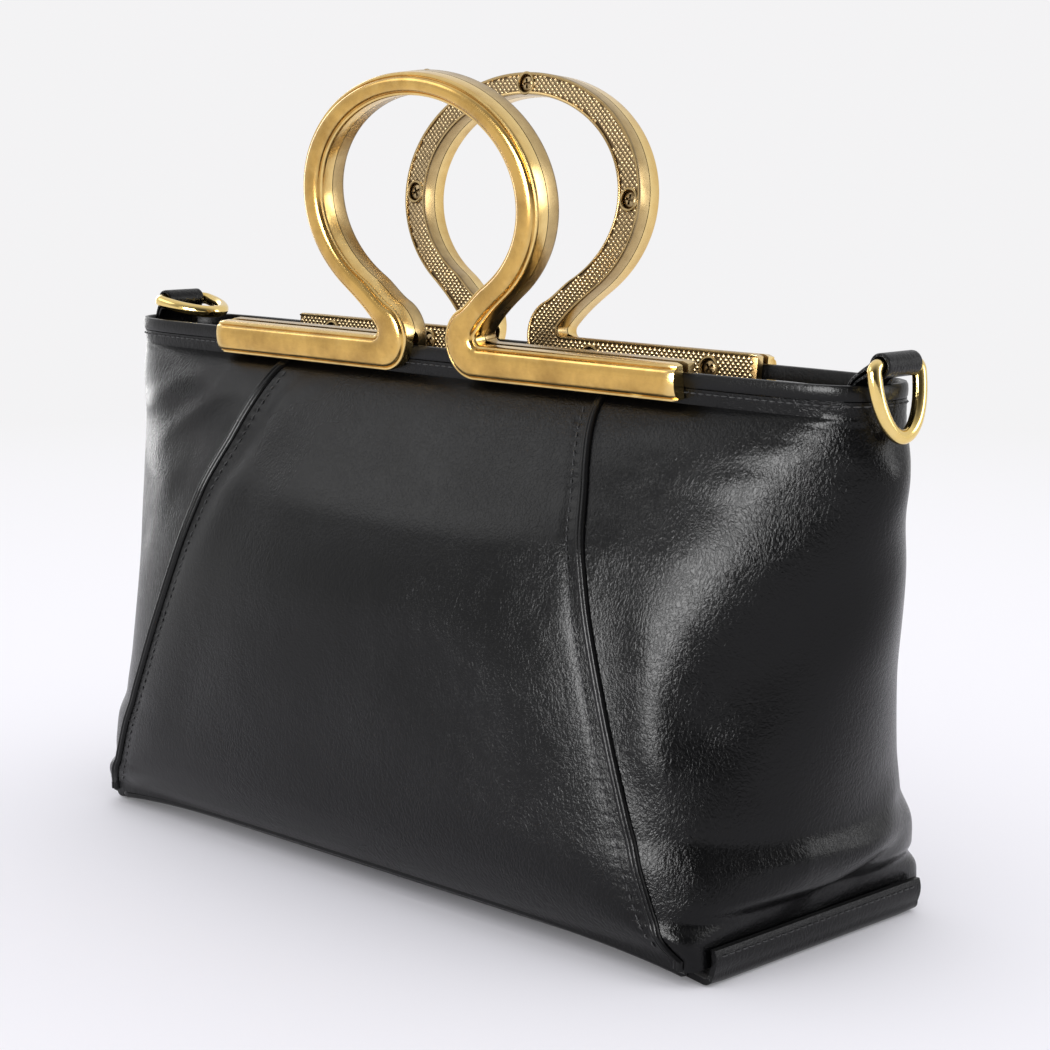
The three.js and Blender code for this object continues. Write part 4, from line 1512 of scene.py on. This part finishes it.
def brass_patina() -> NodeTree:
    """Patina of handled brass: dark clouds, fine scratches and small pits."""
    nodes, given, made = group(
        "brass_patina", {"Cloud": 70.0, "Scratch": 420.0, "Amount": 0.5}, ("Tone", "Gloss", "Height")
    )
    given = given.outputs
    place = nodes.add("TexCoord").outputs["Object"]
    cloud = nodes.add("TexNoise", Vector=place, Scale=given["Cloud"], Detail=5.0, Roughness=0.6)
    cloud = cloud.outputs["Fac"]
    stretched = nodes.add("Mapping", Vector=place, Rotation=(0.1, 0.5, 0.3), Scale=(0.08, 1.0, 1.0))
    scratch = nodes.add("TexNoise", Vector=stretched.outputs[0], Detail=4.0, Roughness=0.7)
    nodes.set(scratch, Scale=given["Scratch"])
    pits = nodes.add("TexVoronoi", Vector=place, Scale=360.0)
    pit = nodes.span(pits.outputs["Distance"], 0.0, 0.16, 1.0, 0.0)
    tone = nodes.maths("ADD", nodes.span(cloud, 0.42, 0.68), nodes.maths("MULTIPLY", pit, 0.25))
    tone = nodes.maths("MULTIPLY", tone, given["Amount"], clamp=True)
    rough = nodes.maths("MULTIPLY", scratch.outputs["Fac"], 0.6)
    height = nodes.maths("SUBTRACT", rough, nodes.maths("MULTIPLY", pit, 0.5))
    nodes.set(made, Tone=tone, Gloss=nodes.span(cloud, 0.3, 0.7), Height=height)
    return nodes.tree


def edge_wear() -> NodeTree:
    """Mask of a hard piece's worn edges, from how far the surface bends there."""
    nodes, given, made = group("edge_wear", {"Low": 0.5, "High": 0.6, "Break": 300.0}, ("Worn",))
    given = given.outputs
    bend = nodes.add("NewGeometry").outputs["Pointiness"]
    place = nodes.add("TexCoord").outputs["Object"]
    noise = nodes.add("TexNoise", Vector=place, Scale=given["Break"], Detail=3.0).outputs["Fac"]
    shift = nodes.maths("MULTIPLY", nodes.maths("SUBTRACT", noise, 0.5), 0.04)
    nodes.set(made, Worn=nodes.span(nodes.maths("ADD", bend, shift), given["Low"], given["High"]))
    return nodes.tree


@dataclass(frozen=True)
class Effects:
    """Node groups that the finishes share."""

    grain: NodeTree
    patina: NodeTree
    wear: NodeTree


def finish_tree(name: str) -> tuple[Material, Nodes, Node]:
    """Starts a material.

    Args:
        name: Its name.

    Returns:
        The material, its layout and its Principled BSDF.
    """
    material = bpy.data.materials.new(name)
    material.use_nodes = True
    nodes = Nodes(material.node_tree)
    surface = nodes.add("BsdfPrincipled")
    nodes.add("OutputMaterial", Surface=surface.outputs[0])
    return material, nodes, surface


@dataclass(frozen=True)
class Leather:
    """Coated leather: its colours, its least and most roughness, and its grain."""

    name: str
    colour: Colour
    worn: Colour
    gloss: Pair
    relief: float
    creases: float
    coat_roughness: float
    wrinkle: float = 1150.0
    pebble: float = 1700.0
    depth: float = 0.0004
    coat: float = 0.05
    specular: float = 0.19

    def material(self, effects: Effects) -> Material:
        """The finish as a material."""
        material, nodes, surface = finish_tree(self.name)
        grain = nodes.add("Group", node_tree=effects.grain)
        nodes.set(grain, Pebble=self.pebble, Wrinkle=self.wrinkle, Creases=self.creases)
        grain = grain.outputs
        nodes.set(
            surface,
            Base_Color=nodes.blend(grain["Tone"], self.colour, self.worn),
            Roughness=nodes.span(grain["Gloss"], 0.0, 1.0, *self.gloss),
            Normal=nodes.bump(self.relief, self.depth, grain["Height"]),
            Coat_Weight=self.coat,
            Coat_Roughness=self.coat_roughness,
            Specular_IOR_Level=self.specular,
        )
        return material


@dataclass(frozen=True)
class Brass:
    """Brass-coloured metal: its colours, its least and most roughness, and how much patina it has."""

    name: str
    colour: Colour
    dark: Colour
    bright: Colour
    gloss: Pair
    amount: float
    relief: float = 0.12
    depth: float = 0.0003
    wear: Pair = (0.51, 0.58)

    def material(self, effects: Effects) -> Material:
        """The finish as a material."""
        material, nodes, surface = finish_tree(self.name)
        patina = nodes.add("Group", node_tree=effects.patina, Amount=self.amount).outputs
        wear = nodes.add("Group", node_tree=effects.wear, Low=self.wear[0], High=self.wear[1])
        aged = nodes.blend(patina["Tone"], self.colour, self.dark)
        nodes.set(
            surface,
            Base_Color=nodes.blend(wear.outputs["Worn"], aged, self.bright),
            Roughness=nodes.span(patina["Gloss"], 0.0, 1.0, *self.gloss),
            Normal=nodes.bump(self.relief, self.depth, patina["Height"]),
            Metallic=1.0,
        )
        return material


@dataclass(frozen=True)
class Cloth:
    """Plain woven lining."""

    name: str
    colour: Colour
    shade: Colour

    def material(self, effects: Effects) -> Material:
        """The finish as a material."""
        material, nodes, surface = finish_tree(self.name)
        place = nodes.add("TexCoord").outputs["Object"]
        weave = nodes.add("TexWave", Vector=place, Scale=900.0, Distortion=0.6, bands_direction="DIAGONAL")
        cloud = nodes.add("TexNoise", Vector=place, Scale=40.0, Detail=3.0)
        nodes.set(
            surface,
            Base_Color=nodes.blend(cloud.outputs["Fac"], self.colour, self.shade),
            Normal=nodes.bump(0.3, 0.0003, weave.outputs["Fac"]),
            Roughness=0.85,
            Sheen_Weight=0.2,
        )
        return material


@dataclass(frozen=True)
class Thread:
    """Twisted sewing thread."""

    name: str
    colour: Colour
    shade: Colour

    def material(self, effects: Effects) -> Material:
        """The finish as a material."""
        material, nodes, surface = finish_tree(self.name)
        place = nodes.add("TexCoord").outputs["Object"]
        twist = nodes.add("TexWave", Vector=place, Scale=1400.0, Distortion=0.3, bands_direction="DIAGONAL")
        nodes.set(
            surface,
            Base_Color=nodes.blend(twist.outputs["Fac"], self.shade, self.colour),
            Normal=nodes.bump(0.5, 0.0002, twist.outputs["Fac"]),
            Roughness=0.5,
        )
        return material


@dataclass(frozen=True)
class Lamp:
    """Soft square light: where it stands, what it faces, its size and its radiance."""

    name: str
    at: Colour
    facing: Colour
    size: Pair
    radiance: float


@dataclass
class Studio:
    """Pale floor, soft lights and the camera."""

    azimuth: float = math.radians(44.461)
    elevation: float = math.radians(9.38)
    roll: float = math.radians(0.377)
    camera_at: Colour = (0.609289, -0.602376, 0.260117)
    lens: float = 84.38
    sensor: float = 36.0
    backdrop: Colour = (0.90, 0.895, 0.905)
    floor_colour: Colour = (0.885, 0.875, 0.925)
    floor_near: float = 0.0
    floor_far: float = 1.3
    dome: float = 1.16
    gloss_dome: float = 0.85
    dark_side: Colour = (0.64, -0.75, 0.15)
    dark_drop: float = 0.80
    dark_span: Pair = (0.05, 0.90)
    dome_colour: Colour = (0.985, 0.985, 1.0)
    lamps: tuple[Lamp, ...] = (
        Lamp("key", (0.11, -0.95, 0.32), (0.13, -0.05, 0.13), (0.46, 0.46), 22.0),
        Lamp("rim_light", (1.3, 0.75, 0.55), (0.1, 0.0, 0.1), (0.5, 0.9), 5.0),
        Lamp("left_light", (-1.3, 0.35, 0.40), (-0.15, 0.0, 0.1), (0.5, 0.9), 3.0),
        Lamp("top", (-0.9, -0.75, 0.95), (-0.05, 0.0, 0.15), (0.7, 0.5), 1.6),
    )

    def camera(self) -> None:
        """Places the camera at the photograph's angle."""
        sin_a, cos_a = math.sin(self.azimuth), math.cos(self.azimuth)
        sin_e, cos_e = math.sin(self.elevation), math.cos(self.elevation)
        back = Vector((sin_a * cos_e, -cos_a * cos_e, sin_e))
        right = Vector((cos_a, sin_a, 0.0))
        up = Vector((-sin_a * sin_e, cos_a * sin_e, cos_e))
        across = right * math.cos(self.roll) + up * math.sin(self.roll)
        upright = up * math.cos(self.roll) - right * math.sin(self.roll)
        data = bpy.data.cameras.new("camera")
        data.lens = self.lens
        data.sensor_width = self.sensor
        data.sensor_fit = "HORIZONTAL"
        camera = bpy.data.objects.new("camera", data)
        axes = Matrix([[across[i], upright[i], back[i]] for i in range(3)])
        camera.matrix_world = Matrix.Translation(Vector(self.camera_at)) @ axes.to_4x4()
        bpy.context.scene.collection.objects.link(camera)
        bpy.context.scene.camera = camera

    def floor(self) -> None:
        """Lays the pale floor, which from the bag outwards fades into a self-lit backdrop colour; near the
        bag this glow is painted light that lightens the bag's contact shadow.
        """
        half = 12.0
        corners = [(-half, -half, 0), (half, -half, 0), (half, half, 0), (-half, half, 0)]
        mesh = bpy.data.meshes.new("floor")
        mesh.from_pydata(corners, [], [(0, 1, 2, 3)])
        floor = bpy.data.objects.new("floor", mesh)
        bpy.context.scene.collection.objects.link(floor)
        material, nodes, surface = finish_tree("floor_paper")
        nodes.set(surface, Base_Color=(*self.floor_colour, 1.0), Roughness=0.9, Specular_IOR_Level=0.0)
        place = nodes.add("TexCoord").outputs["Object"]
        reach = nodes.add("VectorMath", operation="LENGTH")
        nodes.feed(reach.inputs[0], place)
        far = nodes.span(reach.outputs["Value"], self.floor_near, self.floor_far)
        # Painted light: the floor's self-lit backdrop colour is mixed in from the bag outwards, so it also
        # lightens the bag's contact shadow.
        painted_backdrop_glow = nodes.add("Emission", Color=(*self.backdrop, 1.0), Strength=1.0)
        mixed = nodes.row("MixShader", far, surface.outputs[0], painted_backdrop_glow.outputs[0])
        end = next(node for node in nodes.tree.nodes if node.type == "OUTPUT_MATERIAL")
        nodes.set(end, Surface=mixed)
        mesh.materials.append(material)

    def light(self) -> None:
        """Hangs the lights, which show only as gloss, and the pale surround."""
        for lamp in self.lamps:
            data = bpy.data.lights.new(lamp.name, "AREA")
            data.shape = "RECTANGLE"
            data.size, data.size_y = lamp.size
            data.energy = lamp.radiance * math.pi * lamp.size[0] * lamp.size[1]
            light = bpy.data.objects.new(lamp.name, data)
            way = Vector(lamp.facing) - Vector(lamp.at)
            light.location = lamp.at
            light.rotation_euler = way.to_track_quat("-Z", "Y").to_euler()
            light.visible_camera = False
            light.visible_diffuse = False
            bpy.context.scene.collection.objects.link(light)
        bpy.context.scene.world = self.surround()
        bpy.context.scene.view_settings.view_transform = "Standard"

    def surround(self) -> World:
        """The surround: one pale colour to the eye, an even dome to the floor, and a dark side to gloss."""
        world = bpy.data.worlds.new("surround")
        world.use_nodes = True
        nodes = Nodes(world.node_tree)
        facing = nodes.add("VectorMath", operation="DOT_PRODUCT")
        nodes.feed(facing.inputs[0], nodes.add("TexCoord").outputs["Generated"])
        nodes.feed(facing.inputs[1], self.dark_side)
        least = self.gloss_dome - self.dark_drop
        dark = nodes.span(facing.outputs["Value"], *self.dark_span, self.gloss_dome, least)
        path = nodes.add("LightPath").outputs
        strength = nodes.add("Mix", data_type="FLOAT")
        for index, value in ((0, path["Is Glossy Ray"]), (2, self.dome), (3, dark)):
            nodes.feed(strength.inputs[index], value)
        soft = nodes.add("Background", Color=(*self.dome_colour, 1.0), Strength=strength.outputs[0])
        seen = nodes.add("Background", Color=(*self.backdrop, 1.0), Strength=1.0)
        mixed = nodes.row("MixShader", path["Is Camera Ray"], soft.outputs[0], seen.outputs[0])
        nodes.add("OutputWorld", Surface=mixed)
        return world


@dataclass
class Wardrobe:
    """Every finish of the bag, made once."""

    effects: Effects
    materials: dict[str, Material] = field(default_factory=dict)

    def of(self, finish: Leather | Brass | Cloth | Thread) -> Material:
        """The material of a finish, made the first time that it is asked for."""
        if finish.name not in self.materials:
            self.materials[finish.name] = finish.material(self.effects)
        return self.materials[finish.name]


GLOSSY = Leather(
    "black_leather", (0.0012, 0.0012, 0.0014), (0.002, 0.002, 0.0024), (0.215, 0.295), 0.38, 0.15, 0.2
)
EDGE = Leather(
    "edge_leather", (0.002, 0.002, 0.0022), (0.004, 0.004, 0.0044), (0.245, 0.325), 0.20, 0.1, 0.224
)
LINING = Cloth("lining", (0.016, 0.015, 0.015), (0.026, 0.025, 0.024))
# Painted sheen: the thread's colours are lifted above true black to stand in for the light that the stitches
# catch.
THREAD = Thread("black_thread", (0.045, 0.045, 0.048), (0.012, 0.012, 0.013))
SHELL_BRASS = Brass(
    "warm_brass", (0.69, 0.43, 0.125), (0.28, 0.155, 0.042), (0.88, 0.66, 0.29), (0.14, 0.27), 0.6
)
BORDER_BRASS = Brass(
    "border_brass", (0.30, 0.19, 0.075), (0.11, 0.07, 0.03), (0.62, 0.46, 0.22), (0.21, 0.34), 0.7
)
KNURL_BRASS = Brass(
    "knurl_brass", (0.17, 0.115, 0.06), (0.04, 0.028, 0.016), (0.50, 0.38, 0.21), (0.27, 0.40), 0.9
)
SCREW_BRASS = Brass(
    "screw_brass", (0.16, 0.11, 0.055), (0.06, 0.04, 0.02), (0.48, 0.36, 0.19), (0.23, 0.36), 0.6
)
RING_GOLD = Brass(
    "ring_gold", (0.84, 0.60, 0.19), (0.60, 0.40, 0.11), (0.95, 0.78, 0.42), (0.07, 0.20), 0.25
)


def build_body(form: BagForm, wardrobe: Wardrobe) -> None:
    """Builds and seats the leather body.

    Args:
        form: The body's form.
        wardrobe: The finishes.
    """
    work = Leatherwork(form)
    walls = [wardrobe.of(GLOSSY), wardrobe.of(LINING)]
    edges = [wardrobe.of(EDGE), wardrobe.of(THREAD)]
    for face in Face:
        place(work.panel(face, walls), Body.BAG, "leather", [f"{face.word}_panel"])
        place(work.welt(face, edges[:1]), Body.BAG, "leather_edge", [f"base_welt_{face.word}"])
        for side in Side:
            nodes = [f"seam_piping_{face.word}_{side.word}"]
            place(work.piping(side, face, edges), Body.BAG, "leather_edge", nodes)
    for side in Side:
        place(work.gusset(side, walls), Body.BAG, "leather", [f"gusset_{side.word}"])
    place(work.rim(edges[:1]), Body.BAG, "leather_edge", ["rim_band"])
    place(work.rim_stitches(edges), Body.BAG, "leather_edge", [])
    place(work.base([*walls, wardrobe.of(THREAD)]), Body.BAG, "leather", ["base_panel"])


def build_handles(form: BagForm, wardrobe: Wardrobe) -> None:
    """Builds and seats both handles with their screws.

    Args:
        form: The body's form.
        wardrobe: The finishes.
    """
    for name, turn in (("front", 0.0), ("rear", math.pi)):
        handle = Handle(form, name, turn)
        place(handle.shell(wardrobe.of(SHELL_BRASS)), Body.BAG, "brass", [f"handle_{name}_shell"])
        plate = handle.plate([wardrobe.of(BORDER_BRASS), wardrobe.of(KNURL_BRASS)])
        place(plate, Body.BAG, "dark_brass", [f"handle_{name}_plate"])
        for number in range(1, len(handle.screw_places()) + 1):
            screw = handle.screw(number, wardrobe.of(SCREW_BRASS))
            place(screw, Body.BAG, "dark_brass", [f"screw_{name}_{number}"])


def build_strap_loops(form: BagForm, wardrobe: Wardrobe) -> None:
    """Builds and seats both tabs and their D-rings.

    Args:
        form: The body's form.
        wardrobe: The finishes.
    """
    loops = (
        StrapLoop(form, Side.LEFT, loop_x=-166.0, middle_y=-6.0, slant=80.0),
        StrapLoop(form, Side.RIGHT, loop_x=180.0, middle_y=-9.0, slant=8.5),
    )
    for loop, body in zip(loops, (Body.RING_LEFT, Body.RING_RIGHT)):
        leather = [wardrobe.of(GLOSSY), wardrobe.of(THREAD)]
        place(loop.tab(leather), Body.BAG, "leather", [f"strap_tab_{loop.side.word}"])
        place(loop.ring(wardrobe.of(RING_GOLD)), body, "gold", [f"d_ring_{loop.side.word}"])


def main() -> None:
    """Builds the pieces in order."""
    logging.basicConfig(level=logging.INFO, format="%(message)s")
    studio = Studio()
    studio.camera()
    studio.floor()
    studio.light()
    form = BagForm()
    wardrobe = Wardrobe(Effects(leather_grain(), brass_patina(), edge_wear()))
    build_body(form, wardrobe)
    build_handles(form, wardrobe)
    build_strap_loops(form, wardrobe)


if __name__ == "__main__":
    main()
